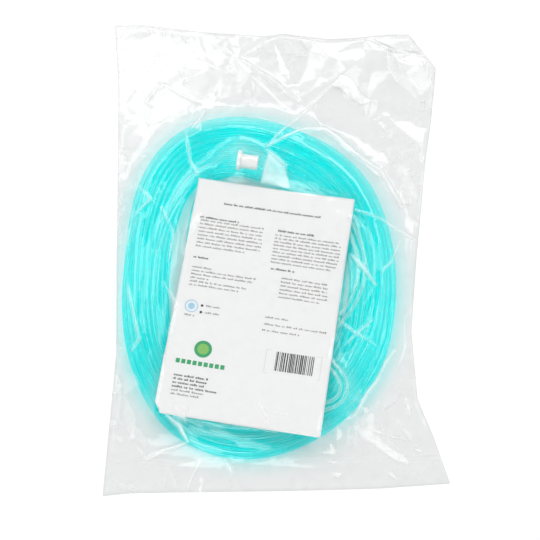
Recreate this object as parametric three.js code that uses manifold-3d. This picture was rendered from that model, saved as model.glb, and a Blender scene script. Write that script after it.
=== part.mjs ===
// Nasal oxygen cannula in its clear pouch, lying flat with its front up.
// Millimetres, +Z up, +Y towards the pouch's open-weld end, origin under the middle of the whole part.
import * as THREE from 'three';
import { mergeVertices } from 'three/addons/utils/BufferGeometryUtils.js';
import Module from 'manifold-3d';

const wasm = await Module();
wasm.setup();

// Clearances and films
const GAP = 0.3; // between pieces that touch
const FILM = 0.35; // wall of each pouch film
const PAPER = 0.3; // leaflet, one sheet
const FLOOR = FILM + GAP; // what lies in the pouch starts here

// Pouch outline: [y, x] along each long side, and how far the short ends run out of square
const POUCH_BOTTOM = -221;
const POUCH_TOP = 221;
const BOTTOM_RISE = 10; // the right end of the bottom edge lies this much higher
const TOP_FALL = 9; // the right end of the top edge lies this much lower
const LEFT_SIDE = [
  [-221, -142], [-160, -139], [-100, -136], [-20, -139], [80, -142], [160, -145], [221, -150.8],
];
const RIGHT_SIDE = [
  [-211, 145], [-172, 133], [-140, 121], [-80, 118], [-15, 125], [80, 137], [121, 144], [175, 152], [212, 127],
];
const FILM_COLUMNS = 26;
const FILM_ROWS = 36;

// Supply tube and its oval coil
const SUPPLY_OD = 5;
const COIL_ROUTE = [
  [-40, 90], [2, 84], [38, 65], [64, 32], [77, -24], [66, -95], [33, -137],
  [-23, -158], [-68, -143], [-96, -97], [-103, -27], [-92, 50], [-70, 80],
];
const COIL_HALF_SIDE = 29; // half the band's width where it runs along Y
const COIL_HALF_END = 35.5; // and where it runs along X
// Section of the band: [share of the half width, height], inner edge at -1
const COIL_SECTION = [
  [-0.96, 0], [-1, 2.8], [-0.92, 5.4], [-0.5, 7.5], [-0.1, 12],
  [0.3, 14.6], [0.7, 14.2], [0.93, 9.5], [1, 4], [0.95, 0],
];
const COIL_STEPS = 64;
// Where the tail leaves the coil: share of the way round it, and how far inside its inner edge
const TAIL_BESIDE = [[0.672, 3.1], [0.641, 4.4], [0.594, 4.2], [0.547, 3]];
const TAIL_TURN = [[-11, -25], [-1, -12]]; // on its way, from the Y connector's inlet
const STRAIGHT_END = 4; // run of tube in line with the piece that it enters
const LEAD_STRAIGHT = 8;
const LEAD_ROUTE = [[-54, 70], [-66, 62], [-78, 46], [-90, 23], [-98, 0], [-102, -24]];

// Connector on the supply tube's free end, its mouth away from the tube
const CONNECTOR_AT = [-24, 72];
const CONNECTOR_TURN = -9; // degrees, seen from above
const CONNECTOR_LENGTH = 18.7;
const CONNECTOR_FLANGE_D = 18;
const CONNECTOR_FLANGE_T = 3.75;
const CONNECTOR_BODY_D = 12.9;
const CONNECTOR_BORE_D = 8;
const CONNECTOR_BORE_DEPTH = 12;
const CONNECTOR_EDGE = 0.6;

// Y connector
const Y_AT = [1, -76];
const Y_LENGTH = 24;
const Y_INLET_W = 9;
const Y_OUTLET_W = 11;
const Y_WAIST_W = 7.6;
const Y_EDGE = 1.2;
const Y_THICK = 9;

// Twin lumen tubes
const LUMEN_OD = 3.6;
const LUMEN_PITCH = 4.6; // between the two in the Y connector and the slide
const LUMEN_APART = 5.4; // and where they lie side by side after it

// Slide on the twin tubes
const SLIDE_LENGTH = 15;
const SLIDE_W = 13;
const SLIDE_THICK = 8;
const SLIDE_ROUND = 2.5;
const SLIDE_PLAY = 0.5; // round each tube
const SLIDE_Y = -45;
const SLIDE_PATH = 13.5; // straight tube left beyond the slide

// Nosepiece
const NOSE_AT = [-28, -2];
const NOSE_TURN = 45; // degrees, seen from above
const NOSE_LENGTH = 44;
const NOSE_D = 7;
const NOSE_STUB_D = 5.2;
const NOSE_STUB_L = 6;
const NOSE_TAPER = 2;
const PRONG_APART = 12;
const PRONG_D = 4.6;
const PRONG_BORE = 2.8;
const PRONG_REACH = 13;
const PRONG_RISE = 4.5;
const NOSE_SADDLE = [24, 9, 1.6]; // flap that lies on the lip: along the tube, out from it, thick

// Leaflet
const LEAF_W = 140;
const LEAF_L = 216;
const LEAF_AT = [-15, -59.4];
const LEAF_TURN = -8.95;
const LEAF_DOG_EAR = [9, 13]; // corner turned under at the lower left: along the bottom, up the side

const TWO_PI = Math.PI * 2;
const radians = THREE.MathUtils.degToRad;

// Value of a list of [key, value] pairs at a key, in straight lines between neighbours
function between(pairs, key) {
  if (key <= pairs[0][0]) return pairs[0][1];
  for (let i = 1; i < pairs.length; i += 1) {
    const [k0, v0] = pairs[i - 1];
    const [k1, v1] = pairs[i];
    if (key <= k1) return THREE.MathUtils.lerp(v0, v1, (key - k0) / (k1 - k0));
  }
  return pairs[pairs.length - 1][1];
}

// Coil: middle line of the band, with the outward direction and half width at each step
const coilCurve = new THREE.CatmullRomCurve3(
  COIL_ROUTE.map(([x, y]) => new THREE.Vector3(x, y, 0)), true, 'centripetal');
const coilLine = Array.from({ length: COIL_STEPS }, (_, i) => {
  const t = i / COIL_STEPS;
  const at = coilCurve.getPointAt(t);
  const along = coilCurve.getTangentAt(t);
  const out = new THREE.Vector3(-along.y, along.x, 0);
  const half = THREE.MathUtils.lerp(COIL_HALF_SIDE, COIL_HALF_END, out.y * out.y);
  return { at, out, half };
});

// Share of the half width at which a point lies across the band, -1 inner edge, 1 outer edge, and mm past it
function acrossCoil(x, y) {
  let best = null;
  let least = Infinity;
  coilLine.forEach((step, i) => {
    const next = coilLine[(i + 1) % COIL_STEPS];
    const run = new THREE.Vector2(next.at.x - step.at.x, next.at.y - step.at.y);
    const off = new THREE.Vector2(x - step.at.x, y - step.at.y);
    const t = THREE.MathUtils.clamp(off.dot(run) / run.lengthSq(), 0, 1);
    const px = THREE.MathUtils.lerp(step.at.x, next.at.x, t);
    const py = THREE.MathUtils.lerp(step.at.y, next.at.y, t);
    const d = Math.hypot(x - px, y - py);
    if (d < least) {
      least = d;
      const half = THREE.MathUtils.lerp(step.half, next.half, t);
      const side = Math.sign((x - px) * step.out.x + (y - py) * step.out.y) || 1;
      best = { share: (side * d) / half, past: side * d - half };
    }
  });
  return best;
}

const coilTopPairs = COIL_SECTION.slice(1, -1);

// Height of the coil's top under a point, or of the back film beside the coil
function coilTop(x, y) {
  const { share } = acrossCoil(x, y);
  return Math.abs(share) > 1 ? FLOOR : FLOOR + between(coilTopPairs, share);
}

// Height of the middle of a round piece that lies on the coil at a point
function onCoil(x, y, diameter) {
  const r = diameter / 2;
  const heights = [0, 0.4, 0.75, 1].flatMap((share) => {
    const off = r * share;
    const round = Math.sqrt(r * r - off * off);
    return [[off, 0], [-off, 0], [0, off], [0, -off]].map(([dx, dy]) => coilTop(x + dx, y + dy) + round);
  });
  return Math.max(...heights) + GAP;
}

// Pouch outline from its left side (u = 0) to its right side (u = 1), bottom (v = 0) to top (v = 1)
function pouchPoint(u, v) {
  const y = THREE.MathUtils.lerp(POUCH_BOTTOM + BOTTOM_RISE * u, POUCH_TOP - TOP_FALL * u, v);
  const x = THREE.MathUtils.lerp(between(LEFT_SIDE, y), between(RIGHT_SIDE, y), u);
  return [x, y];
}

function plain(colour, roughness, extra = {}) {
  return new THREE.MeshStandardMaterial({ color: colour, roughness, metalness: 0, ...extra });
}

const clearFilm = plain('#eef2f2', 0.15, { transparent: true, opacity: 0.3 });
const tubing = plain('#20d0cc', 0.3, { transparent: true, opacity: 0.85 });
const paleTubing = plain('#a8ece4', 0.3, { transparent: true, opacity: 0.85 });
const whitePlastic = plain('#f0f2f1', 0.4);
const clearPlastic = plain('#d8efec', 0.25, { transparent: true, opacity: 0.7 });
const paper = plain('#f3f3f2', 0.8);

function named(name, geometry, material) {
  const mesh = new THREE.Mesh(geometry, material);
  mesh.name = name;
  return mesh;
}

// Closed mesh from rings of points, each ring closed; the ends are capped unless the rings close on themselves
function fromRings(rings, closed) {
  const n = rings[0].length;
  const positions = rings.flat(2);
  const faces = [];
  const last = closed ? rings.length : rings.length - 1;
  for (let i = 0; i < last; i += 1) {
    const a = i * n;
    const b = ((i + 1) % rings.length) * n;
    for (let j = 0; j < n; j += 1) {
      const k = (j + 1) % n;
      faces.push(a + j, b + j, b + k, a + j, b + k, a + k);
    }
  }
  const geometry = new THREE.BufferGeometry();
  geometry.setAttribute('position', new THREE.Float32BufferAttribute(positions, 3));
  geometry.setIndex(faces);
  return geometry;
}

function tubeAlong(points, diameter, sides, steps) {
  const path = new THREE.CatmullRomCurve3(points.map((p) => new THREE.Vector3(...p)), false, 'centripetal');
  const section = new THREE.Shape(Array.from({ length: sides }, (_, i) => new THREE.Vector2(
    (diameter / 2) * Math.cos((TWO_PI * i) / sides),
    (diameter / 2) * Math.sin((TWO_PI * i) / sides))));
  return new THREE.ExtrudeGeometry(section, { steps, extrudePath: path, bevelEnabled: false });
}

function toSolid(geometry) {
  const bare = geometry.clone();
  bare.deleteAttribute('normal');
  bare.deleteAttribute('uv');
  const merged = mergeVertices(bare, 1e-4);
  return new wasm.Manifold(new wasm.Mesh({
    numProp: 3,
    vertProperties: new Float32Array(merged.attributes.position.array),
    triVerts: new Uint32Array(merged.index.array),
  }));
}

function fromSolid(solid) {
  const mesh = solid.getMesh();
  const geometry = new THREE.BufferGeometry();
  geometry.setAttribute('position', new THREE.BufferAttribute(new Float32Array(mesh.vertProperties), 3));
  geometry.setIndex(new THREE.BufferAttribute(new Uint32Array(mesh.triVerts), 1));
  return geometry;
}

// Back film: flat on the floor
function backFilm() {
  const outline = [];
  const rows = FILM_ROWS;
  for (let j = 0; j < rows; j += 1) outline.push(pouchPoint(1, j / rows));
  for (let i = 0; i < FILM_COLUMNS; i += 1) outline.push(pouchPoint(1 - i / FILM_COLUMNS, 1));
  for (let j = 0; j < rows; j += 1) outline.push(pouchPoint(0, 1 - j / rows));
  for (let i = 0; i < FILM_COLUMNS; i += 1) outline.push(pouchPoint(i / FILM_COLUMNS, 0));
  const shape = new THREE.Shape(outline.map(([x, y]) => new THREE.Vector2(x, y)));
  return new THREE.ExtrudeGeometry(shape, { depth: FILM, bevelEnabled: false });
}

// Levels of what is stacked in the pouch
const COIL_HIGH = Math.max(...COIL_SECTION.map(([, h]) => h));
const LEAF_Z = FLOOR + COIL_HIGH + GAP + LUMEN_OD + GAP;
const COVER_Z = LEAF_Z + PAPER + GAP;
const connectorZ = onCoil(...CONNECTOR_AT, CONNECTOR_FLANGE_D);
const CONNECTOR_TOP = connectorZ + CONNECTOR_FLANGE_D / 2 + GAP;

// The front film runs level over the contents, falls outside the coil and the leaflet,
// and rises over the connector
const FILM_FALL_FROM = -9; // mm past the coil's outer edge
const FILM_FALL_TO = 22;
const LEAF_FALL_FROM = 5; // mm past the leaflet's edge
const LEAF_FALL_TO = 34;
const SIDE_RISE = 9; // mm from the pouch's side edge within which the film comes up
const BUMP_FLAT = 15; // radius of the level top over the connector
const BUMP_FOOT = 46;

// How far outside the leaflet a point lies
function pastLeaf(x, y) {
  const turn = radians(LEAF_TURN);
  const dx = x - LEAF_AT[0];
  const dy = y - LEAF_AT[1];
  const across = Math.abs(dx * Math.cos(turn) + dy * Math.sin(turn)) - LEAF_W / 2;
  const along = Math.abs(dy * Math.cos(turn) - dx * Math.sin(turn)) - LEAF_L / 2;
  return Math.hypot(Math.max(across, 0), Math.max(along, 0));
}

function filmUnderside(x, y) {
  const pastCoil = THREE.MathUtils.smoothstep(acrossCoil(x, y).past, FILM_FALL_FROM, FILM_FALL_TO);
  const fall = Math.min(pastCoil, THREE.MathUtils.smoothstep(pastLeaf(x, y), LEAF_FALL_FROM, LEAF_FALL_TO));
  const away = Math.hypot(x - CONNECTOR_AT[0], y - CONNECTOR_AT[1]);
  const bump = 1 - THREE.MathUtils.smoothstep(away, BUMP_FLAT, BUMP_FOOT);
  const cover = THREE.MathUtils.lerp(COVER_Z, Math.max(COVER_Z, CONNECTOR_TOP), bump);
  const fromSide = Math.min(x - between(LEFT_SIDE, y), between(RIGHT_SIDE, y) - x);
  const rise = Math.sin((Math.PI / 2) * THREE.MathUtils.clamp(fromSide / SIDE_RISE, 0, 1));
  return FLOOR + (cover - FLOOR) * (1 - fall) * rise;
}

function frontFilm() {
  const rows = [];
  for (let j = 0; j <= FILM_ROWS; j += 1) {
    const under = [];
    const over = [];
    for (let i = 0; i <= FILM_COLUMNS; i += 1) {
      const [x, y] = pouchPoint(i / FILM_COLUMNS, j / FILM_ROWS);
      const z = filmUnderside(x, y);
      under.push([x, y, z]);
      over.unshift([x, y, z + FILM]);
    }
    rows.push([...under, ...over]);
  }
  const geometry = fromRings(rows, false);
  const n = rows[0].length;
  const faces = Array.from(geometry.index.array);
  const start = FILM_ROWS * n;
  for (let i = 0; i < FILM_COLUMNS; i += 1) {
    const low = n - 1 - i;
    faces.push(i, i + 1, low - 1, i, low - 1, low);
    faces.push(start + i, start + low - 1, start + i + 1, start + i, start + low, start + low - 1);
  }
  geometry.setIndex(faces);
  return geometry;
}

// Coil: the band's section carried round its middle line
function coilRing() {
  const rings = coilLine.map(({ at, out, half }) => COIL_SECTION.map(([share, height]) => [
    at.x + out.x * share * half, at.y + out.y * share * half, FLOOR + height]));
  return fromRings(rings, true);
}

// Connector: flange at the tube's side, round body with its mouth at the other end
function connector() {
  const half = CONNECTOR_LENGTH / 2;
  const e = CONNECTOR_EDGE;
  const flangeR = CONNECTOR_FLANGE_D / 2;
  const bodyR = CONNECTOR_BODY_D / 2;
  const boreR = CONNECTOR_BORE_D / 2;
  const step = -half + CONNECTOR_FLANGE_T;
  const profile = [
    [0, -half], [flangeR - e, -half], [flangeR, -half + e], [flangeR, step - e], [flangeR - e, step],
    [bodyR, step], [bodyR, half - e], [bodyR - e, half], [boreR, half],
    [boreR, half - CONNECTOR_BORE_DEPTH], [0, half - CONNECTOR_BORE_DEPTH],
  ].map(([r, h]) => new THREE.Vector2(r, h));
  const geometry = new THREE.LatheGeometry(profile, 32);
  geometry.rotateZ(-Math.PI / 2);
  return geometry;
}

const connectorWay = new THREE.Vector2(Math.cos(radians(CONNECTOR_TURN)), Math.sin(radians(CONNECTOR_TURN)));

// Lead: from the connector's flange back on to the coil
function leadPoints() {
  const back = CONNECTOR_LENGTH / 2 + GAP;
  const near = [back, back + LEAD_STRAIGHT].map((d) => [
    CONNECTOR_AT[0] - connectorWay.x * d, CONNECTOR_AT[1] - connectorWay.y * d, connectorZ]);
  return [...near, ...LEAD_ROUTE.map(([x, y]) => [x, y, onCoil(x, y, SUPPLY_OD) + GAP])];
}

// Tail: from the coil's inner edge to the Y connector
const yLow = Y_AT[1] - Y_LENGTH / 2;
const yHigh = Y_AT[1] + Y_LENGTH / 2;
const Y_Z = FLOOR + GAP + Y_THICK / 2;
const TAIL_LOW = FLOOR + GAP + SUPPLY_OD / 2;
function tailPoints() {
  const beside = TAIL_BESIDE.map(([share, clear]) => {
    const { at, out, half } = coilLine[Math.round(share * COIL_STEPS) % COIL_STEPS];
    return [at.x - out.x * (half + clear), at.y - out.y * (half + clear), TAIL_LOW];
  });
  return [
    ...beside,
    ...TAIL_TURN.map(([dx, dy], i) => [Y_AT[0] + dx, yLow + dy, i === 0 ? TAIL_LOW : Y_Z]),
    [Y_AT[0], yLow - STRAIGHT_END, Y_Z],
    [Y_AT[0], yLow - GAP, Y_Z],
  ];
}

// Y connector: flat moulding, one inlet below and two outlets side by side above
function yConnector() {
  const s = new THREE.Shape();
  const half = Y_LENGTH / 2 - Y_EDGE;
  const inlet = Y_INLET_W / 2 - Y_EDGE;
  const outlet = Y_OUTLET_W / 2 - Y_EDGE;
  const waist = Y_WAIST_W / 2 - Y_EDGE;
  s.moveTo(-inlet, -half);
  s.lineTo(inlet, -half);
  s.lineTo(inlet, -half * 0.45);
  s.quadraticCurveTo(waist, -half * 0.1, outlet, half * 0.35);
  s.lineTo(outlet, half);
  s.lineTo(-outlet, half);
  s.lineTo(-outlet, half * 0.35);
  s.quadraticCurveTo(-waist, -half * 0.1, -inlet, -half * 0.45);
  s.closePath();
  const geometry = new THREE.ExtrudeGeometry(s, {
    depth: Y_THICK - 2 * Y_EDGE, bevelThickness: Y_EDGE, bevelSize: Y_EDGE, bevelSegments: 2, curveSegments: 5,
  });
  geometry.translate(Y_AT[0], Y_AT[1], Y_Z - Y_THICK / 2 + Y_EDGE);
  return geometry;
}

// Slide: rounded block with a hole round each tube, its length along Y
function slide() {
  const w = SLIDE_W / 2;
  const h = SLIDE_THICK / 2;
  const r = SLIDE_ROUND;
  const s = new THREE.Shape();
  s.moveTo(-w + r, -h);
  s.lineTo(w - r, -h);
  s.absarc(w - r, -h + r, r, -Math.PI / 2, 0);
  s.absarc(w - r, h - r, r, 0, Math.PI / 2);
  s.absarc(-w + r, h - r, r, Math.PI / 2, Math.PI);
  s.absarc(-w + r, -h + r, r, Math.PI, Math.PI * 1.5);
  [-1, 1].forEach((side) => {
    const hole = new THREE.Path();
    hole.absarc((side * LUMEN_PITCH) / 2, 0, LUMEN_OD / 2 + SLIDE_PLAY, 0, TWO_PI, true);
    s.holes.push(hole);
  });
  const solid = new THREE.ExtrudeGeometry(s, { depth: SLIDE_LENGTH, bevelEnabled: false, curveSegments: 6 });
  solid.rotateX(Math.PI / 2);
  solid.translate(Y_AT[0], SLIDE_Y + SLIDE_LENGTH / 2, Y_Z);
  return solid;
}

// Lumen tubes: side by side through the slide and round the coil, then apart to the nosepiece's two ends
const NOSE_Z = FLOOR + GAP + NOSE_D / 2;
const noseWay = new THREE.Vector2(Math.cos(radians(NOSE_TURN)), Math.sin(radians(NOSE_TURN)));
const slideLow = SLIDE_Y - SLIDE_LENGTH / 2;
const slideHigh = SLIDE_Y + SLIDE_LENGTH / 2;
const TWIN_STRAIGHT = [yHigh + GAP, slideLow, slideHigh, slideHigh + SLIDE_PATH];
const TWIN_RUN = [
  [5, -2, 6.5], [18, 16, 8.5], [36, 27], [54, 27], [67, 16], [73.5, 0], [78, -20], [75.5, -44],
  [67, -63], [55, -78], [48, -93], [48, -108], [56, -120], [60.5, -132], [56, -145], [42, -153],
  [18, -159], [-16, -161], [-49, -150], [-74, -122], [-82, -84],
];
const OUTER_END = [
  [-82, -46], [-76, -8], [-66, 16, 11.5], [-54, 34, 9], [-37, 44, 7.5], [-18, 46, 6.5], [-4, 40, 5.5],
  [0, 30, NOSE_Z], [-4, 21, NOSE_Z],
];
const INNER_END = [[-74, -54, 10.5], [-65, -39, 7.5], [-54, -28, NOSE_Z]];

function shifted(points, by) {
  return points.map(([x, y, z], i) => {
    const before = points[Math.max(i - 1, 0)];
    const after = points[Math.min(i + 1, points.length - 1)];
    const way = new THREE.Vector2(after[0] - before[0], after[1] - before[1]).normalize();
    return [x + way.y * by, y - way.x * by, z];
  });
}

function settled(points, diameter) {
  return points.map(([x, y, z]) => [x, y, z ?? onCoil(x, y, diameter) + GAP]);
}

function noseEnd(side) {
  return [NOSE_LENGTH / 2 + STRAIGHT_END, NOSE_LENGTH / 2 + GAP].map((d) => [
    NOSE_AT[0] + side * noseWay.x * d, NOSE_AT[1] + side * noseWay.y * d, NOSE_Z]);
}

function lumenPoints(outer) {
  const side = outer ? -1 : 1;
  const start = TWIN_STRAIGHT.map((y) => [Y_AT[0] + (side * LUMEN_PITCH) / 2, y, Y_Z]);
  const run = outer ? TWIN_RUN : shifted(TWIN_RUN, LUMEN_APART);
  const end = outer ? OUTER_END : INNER_END;
  return settled([...start, ...run, ...end, ...noseEnd(outer ? 1 : -1)], LUMEN_OD);
}

// Nosepiece: soft moulded tube with a flap and two curved, hollow prongs
function nosepiece() {
  const half = NOSE_LENGTH / 2;
  const stubR = NOSE_STUB_D / 2;
  const stub = half - NOSE_STUB_L;
  const full = stub - NOSE_TAPER;
  const body = new THREE.LatheGeometry([
    [0, -half], [stubR, -half], [stubR, -stub], [NOSE_D / 2, -full],
    [NOSE_D / 2, full], [stubR, stub], [stubR, half], [0, half],
  ].map(([r, h]) => new THREE.Vector2(r, h)), 20);
  body.rotateZ(-Math.PI / 2);
  const saddle = new THREE.BoxGeometry(...NOSE_SADDLE);
  saddle.translate(0, -NOSE_SADDLE[1] / 2, 0);
  let solid = toSolid(body).add(toSolid(saddle));
  [-1, 1].forEach((side) => {
    const x = (side * PRONG_APART) / 2;
    const way = [[x, 0, 0], [x, PRONG_REACH * 0.45, PRONG_RISE * 0.25], [x * 0.9, PRONG_REACH, PRONG_RISE]];
    solid = solid.add(toSolid(tubeAlong(way, PRONG_D, 14, 8)));
    const on = [[x, 2, 0.2], [x, PRONG_REACH * 0.45, PRONG_RISE * 0.25],
      [x * 0.9, PRONG_REACH, PRONG_RISE], [x * 0.86, PRONG_REACH * 1.2, PRONG_RISE * 1.4]];
    solid = solid.subtract(toSolid(tubeAlong(on, PRONG_BORE, 10, 10)));
  });
  return fromSolid(solid);
}

// Leaflet: one sheet with its lower left corner turned under
function leaflet() {
  const w = LEAF_W / 2;
  const h = LEAF_L / 2;
  const s = new THREE.Shape([
    [-w + LEAF_DOG_EAR[0], -h], [w, -h], [w, h], [-w, h], [-w, -h + LEAF_DOG_EAR[1]],
  ].map(([x, y]) => new THREE.Vector2(x, y)));
  return new THREE.ExtrudeGeometry(s, { depth: PAPER, bevelEnabled: false });
}

const part = new THREE.Group();

const pouch = new THREE.Group();
pouch.add(named('pouch_back_film', backFilm(), clearFilm));
pouch.add(named('pouch_front_film', frontFilm(), clearFilm));
part.add(pouch);

const supply = new THREE.Group();
supply.add(named('supply_tube_coil', coilRing(), tubing));
supply.add(named('supply_tube_lead', tubeAlong(leadPoints(), SUPPLY_OD, 10, 16), tubing));
supply.add(named('supply_tube_tail', tubeAlong(tailPoints(), SUPPLY_OD, 10, 16), tubing));
const connectorMesh = named('tube_connector', connector(), whitePlastic);
connectorMesh.position.set(...CONNECTOR_AT, connectorZ);
connectorMesh.rotation.z = radians(CONNECTOR_TURN);
supply.add(connectorMesh);
part.add(supply);

const patientEnd = new THREE.Group();
patientEnd.add(named('y_connector', yConnector(), clearPlastic));
patientEnd.add(named('slide_adjuster', slide(), clearPlastic));
patientEnd.add(named('lumen_tube_outer', tubeAlong(lumenPoints(true), LUMEN_OD, 8, 80), paleTubing));
patientEnd.add(named('lumen_tube_inner', tubeAlong(lumenPoints(false), LUMEN_OD, 8, 80), paleTubing));
const nose = named('nosepiece', nosepiece(), paleTubing);
nose.position.set(...NOSE_AT, NOSE_Z);
nose.rotation.z = radians(NOSE_TURN);
patientEnd.add(nose);
part.add(patientEnd);

const leaf = named('instruction_leaflet', leaflet(), paper);
leaf.position.set(...LEAF_AT, LEAF_Z);
leaf.rotation.z = radians(LEAF_TURN);
part.add(leaf);

export default part;
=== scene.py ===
"""Dresses a packed nasal oxygen cannula: a coil of turquoise tube and a leaflet in a clear pouch."""

import logging
import math
from dataclasses import dataclass
from enum import Enum
from functools import cache

import bpy
import numpy as np
from bpy.types import Material, Node, NodeSocket, NodeTree, Object
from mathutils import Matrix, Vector
from mathutils.bvhtree import BVHTree
from mathutils.geometry import delaunay_2d_cdt


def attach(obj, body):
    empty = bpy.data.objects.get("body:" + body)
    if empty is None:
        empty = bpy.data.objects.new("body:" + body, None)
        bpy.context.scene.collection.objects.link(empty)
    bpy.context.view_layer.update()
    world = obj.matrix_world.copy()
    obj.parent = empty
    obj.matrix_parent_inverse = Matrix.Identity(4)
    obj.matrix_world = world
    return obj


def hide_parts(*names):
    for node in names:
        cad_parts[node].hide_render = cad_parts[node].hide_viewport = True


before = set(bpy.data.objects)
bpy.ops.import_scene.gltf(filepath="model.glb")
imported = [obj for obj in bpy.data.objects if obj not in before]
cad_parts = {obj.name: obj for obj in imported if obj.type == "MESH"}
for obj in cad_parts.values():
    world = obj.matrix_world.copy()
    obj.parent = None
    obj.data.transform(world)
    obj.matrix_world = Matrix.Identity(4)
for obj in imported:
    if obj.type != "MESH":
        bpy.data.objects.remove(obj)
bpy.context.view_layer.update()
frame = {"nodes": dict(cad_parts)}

LOG = logging.getLogger("cannula")
MM = 0.001
INSIDE = 1.001  # Keeps a place just inside the last cell of a grid

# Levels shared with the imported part, in mm
FILM = 0.35
GAP = 0.3
FLOOR = FILM + GAP
SUPPLY_OD = 5.0
LUMEN_OD = 3.6
CORD_SAMPLES = 5  # Samples between two points of a cord's route

# Print: sides of an upright block and of a round one, and the width of a fine rule in mm
BLOCK = 4
ROUND = 32
FINE_RULE = 0.35


class Body(Enum):
    """The body that the added pieces ride on."""

    ROOT = "root"


class Slot(Enum):
    """Names of the material slots."""

    FILM = "clear_film"
    TUBING = "turquoise_tubing"
    PALE = "pale_tubing"
    WHITE = "white_plastic"
    PAPER = "leaflet_paper"


class Ink(Enum):
    """The inks of the leaflet's print."""

    GREY = "grey_ink"
    GREEN = "green_ink"
    BLUE = "pale_blue_ink"
    BLACK = "black_ink"
    PALE = "pale_grey_ink"
    LIME = "light_green_ink"


# Curves and height maps


def smooth_line(points: list, closed: bool = False, per_span: int = 24) -> np.ndarray:
    """Carries a centripetal Catmull-Rom curve through points.

    Args:
        points: The points to pass through, of two or three coordinates.
        closed: Whether the curve runs back into its start.
        per_span: Samples for each span.

    Returns:
        The samples, one row each, the last point included unless closed.
    """
    p = np.array(points, float)
    n = len(p)
    if closed:
        q = np.vstack([p[-1], p, p[0], p[1]])
        spans = n
    else:
        q = np.vstack([2 * p[0] - p[1], p, 2 * p[-1] - p[-2]])
        spans = n - 1
    rows = []
    for i in range(spans):
        p0, p1, p2, p3 = q[i : i + 4]
        t0 = 0.0
        t1 = t0 + np.linalg.norm(p1 - p0) ** 0.5
        t2 = t1 + np.linalg.norm(p2 - p1) ** 0.5
        t3 = t2 + np.linalg.norm(p3 - p2) ** 0.5
        t = np.linspace(t1, t2, per_span, endpoint=False)[:, None]
        a1 = (t1 - t) / (t1 - t0) * p0 + (t - t0) / (t1 - t0) * p1
        a2 = (t2 - t) / (t2 - t1) * p1 + (t - t1) / (t2 - t1) * p2
        a3 = (t3 - t) / (t3 - t2) * p2 + (t - t2) / (t3 - t2) * p3
        b1 = (t2 - t) / (t2 - t0) * a1 + (t - t0) / (t2 - t0) * a2
        b2 = (t3 - t) / (t3 - t1) * a2 + (t - t1) / (t3 - t1) * a3
        rows.append((t2 - t) / (t2 - t1) * b1 + (t - t1) / (t2 - t1) * b2)
    if not closed:
        rows.append(p[-1:])
    return np.vstack(rows)


def evenly(line: np.ndarray, count: int, closed: bool = False) -> np.ndarray:
    """Spaces points evenly along a line.

    Args:
        line: The line's points.
        count: How many points to return.
        closed: Whether the line runs back into its start.

    Returns:
        The evenly spaced points.
    """
    path = np.vstack([line, line[:1]]) if closed else line
    run = np.r_[0, np.cumsum(np.linalg.norm(np.diff(path, axis=0), axis=1))]
    at = np.linspace(0, run[-1], count, endpoint=not closed)
    return np.column_stack([np.interp(at, run, path[:, k]) for k in range(path.shape[1])])


def length_of(line: np.ndarray) -> float:
    """Returns a line's length."""
    return float(np.linalg.norm(np.diff(line, axis=0), axis=1).sum())


def blurred(grid: np.ndarray, radius: int, times: int = 2) -> np.ndarray:
    """Blurs a height map with a running mean.

    Args:
        grid: The map.
        radius: Half the window, in cells.
        times: How often the mean is taken.

    Returns:
        The blurred map.
    """
    out = grid.astype(float)
    for _ in range(times):
        for axis in (0, 1):
            pad = [(0, 0), (0, 0)]
            pad[axis] = (radius + 1, radius)
            total = np.cumsum(np.pad(out, pad, mode="edge"), axis=axis)
            high = np.take(total, range(2 * radius + 1, total.shape[axis]), axis=axis)
            low = np.take(total, range(0, total.shape[axis] - 2 * radius - 1), axis=axis)
            out = (high - low) / (2 * radius + 1)
    return out


def eased(low: float, high: float, value: np.ndarray) -> np.ndarray:
    """Steps smoothly from 0 at low to 1 at high."""
    t = np.clip((value - low) / (high - low), 0, 1)
    return t * t * (3 - 2 * t)


def settled(under: np.ndarray, rounds: int, sag: float, pinned: bool) -> np.ndarray:
    """Lays a taut sheet over what is under it.

    Args:
        under: Heights of what is under it, on the sheet's own grid.
        rounds: How often each point moves to the mean of its neighbours.
        sag: How far a point sinks each time.
        pinned: Whether the sheet's rim stays down, or is free.

    Returns:
        The sheet's heights.
    """
    z = under.copy()
    for _ in range(rounds):
        around = np.pad(z, 1, mode="edge")
        mean = (around[:-2, 1:-1] + around[2:, 1:-1] + around[1:-1, :-2] + around[1:-1, 2:]) / 4
        z = np.maximum(under, mean - sag)
        if pinned:
            z[[0, -1]] = under[[0, -1]]
            z[:, [0, -1]] = under[:, [0, -1]]
    return z


def read_between(grid: np.ndarray, column: np.ndarray, row: np.ndarray) -> np.ndarray:
    """Reads a grid between its points.

    Args:
        grid: The grid.
        column: Places along its rows, counted in columns.
        row: Places up its columns, counted in rows.

    Returns:
        The values there, those of the rim for places beyond it.
    """
    rows, columns = grid.shape
    column, row = np.clip(column, 0, columns - INSIDE), np.clip(row, 0, rows - INSIDE)
    i, j = column.astype(int), row.astype(int)
    a, b = column - i, row - j
    near = grid[j, i] * (1 - a) + grid[j, i + 1] * a
    far = grid[j + 1, i] * (1 - a) + grid[j + 1, i + 1] * a
    return near * (1 - b) + far * b


# Meshes


def add_mesh(name: str, verts: np.ndarray, faces: list = (), edges: list = ()) -> Object:
    """Makes a smooth object at the origin from points in millimetres.

    Args:
        name: The piece's name.
        verts: Its points, in mm.
        faces: Its faces, as lists of point numbers.
        edges: Its loose edges, as pairs of point numbers.

    Returns:
        The new object.
    """
    mesh = bpy.data.meshes.new(name)
    mesh.from_pydata((np.asarray(verts, float) * MM).tolist(), edges, faces)
    mesh.update()
    mesh.shade_smooth()
    ob = bpy.data.objects.new(name, mesh)
    bpy.context.collection.objects.link(ob)
    return ob


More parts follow.
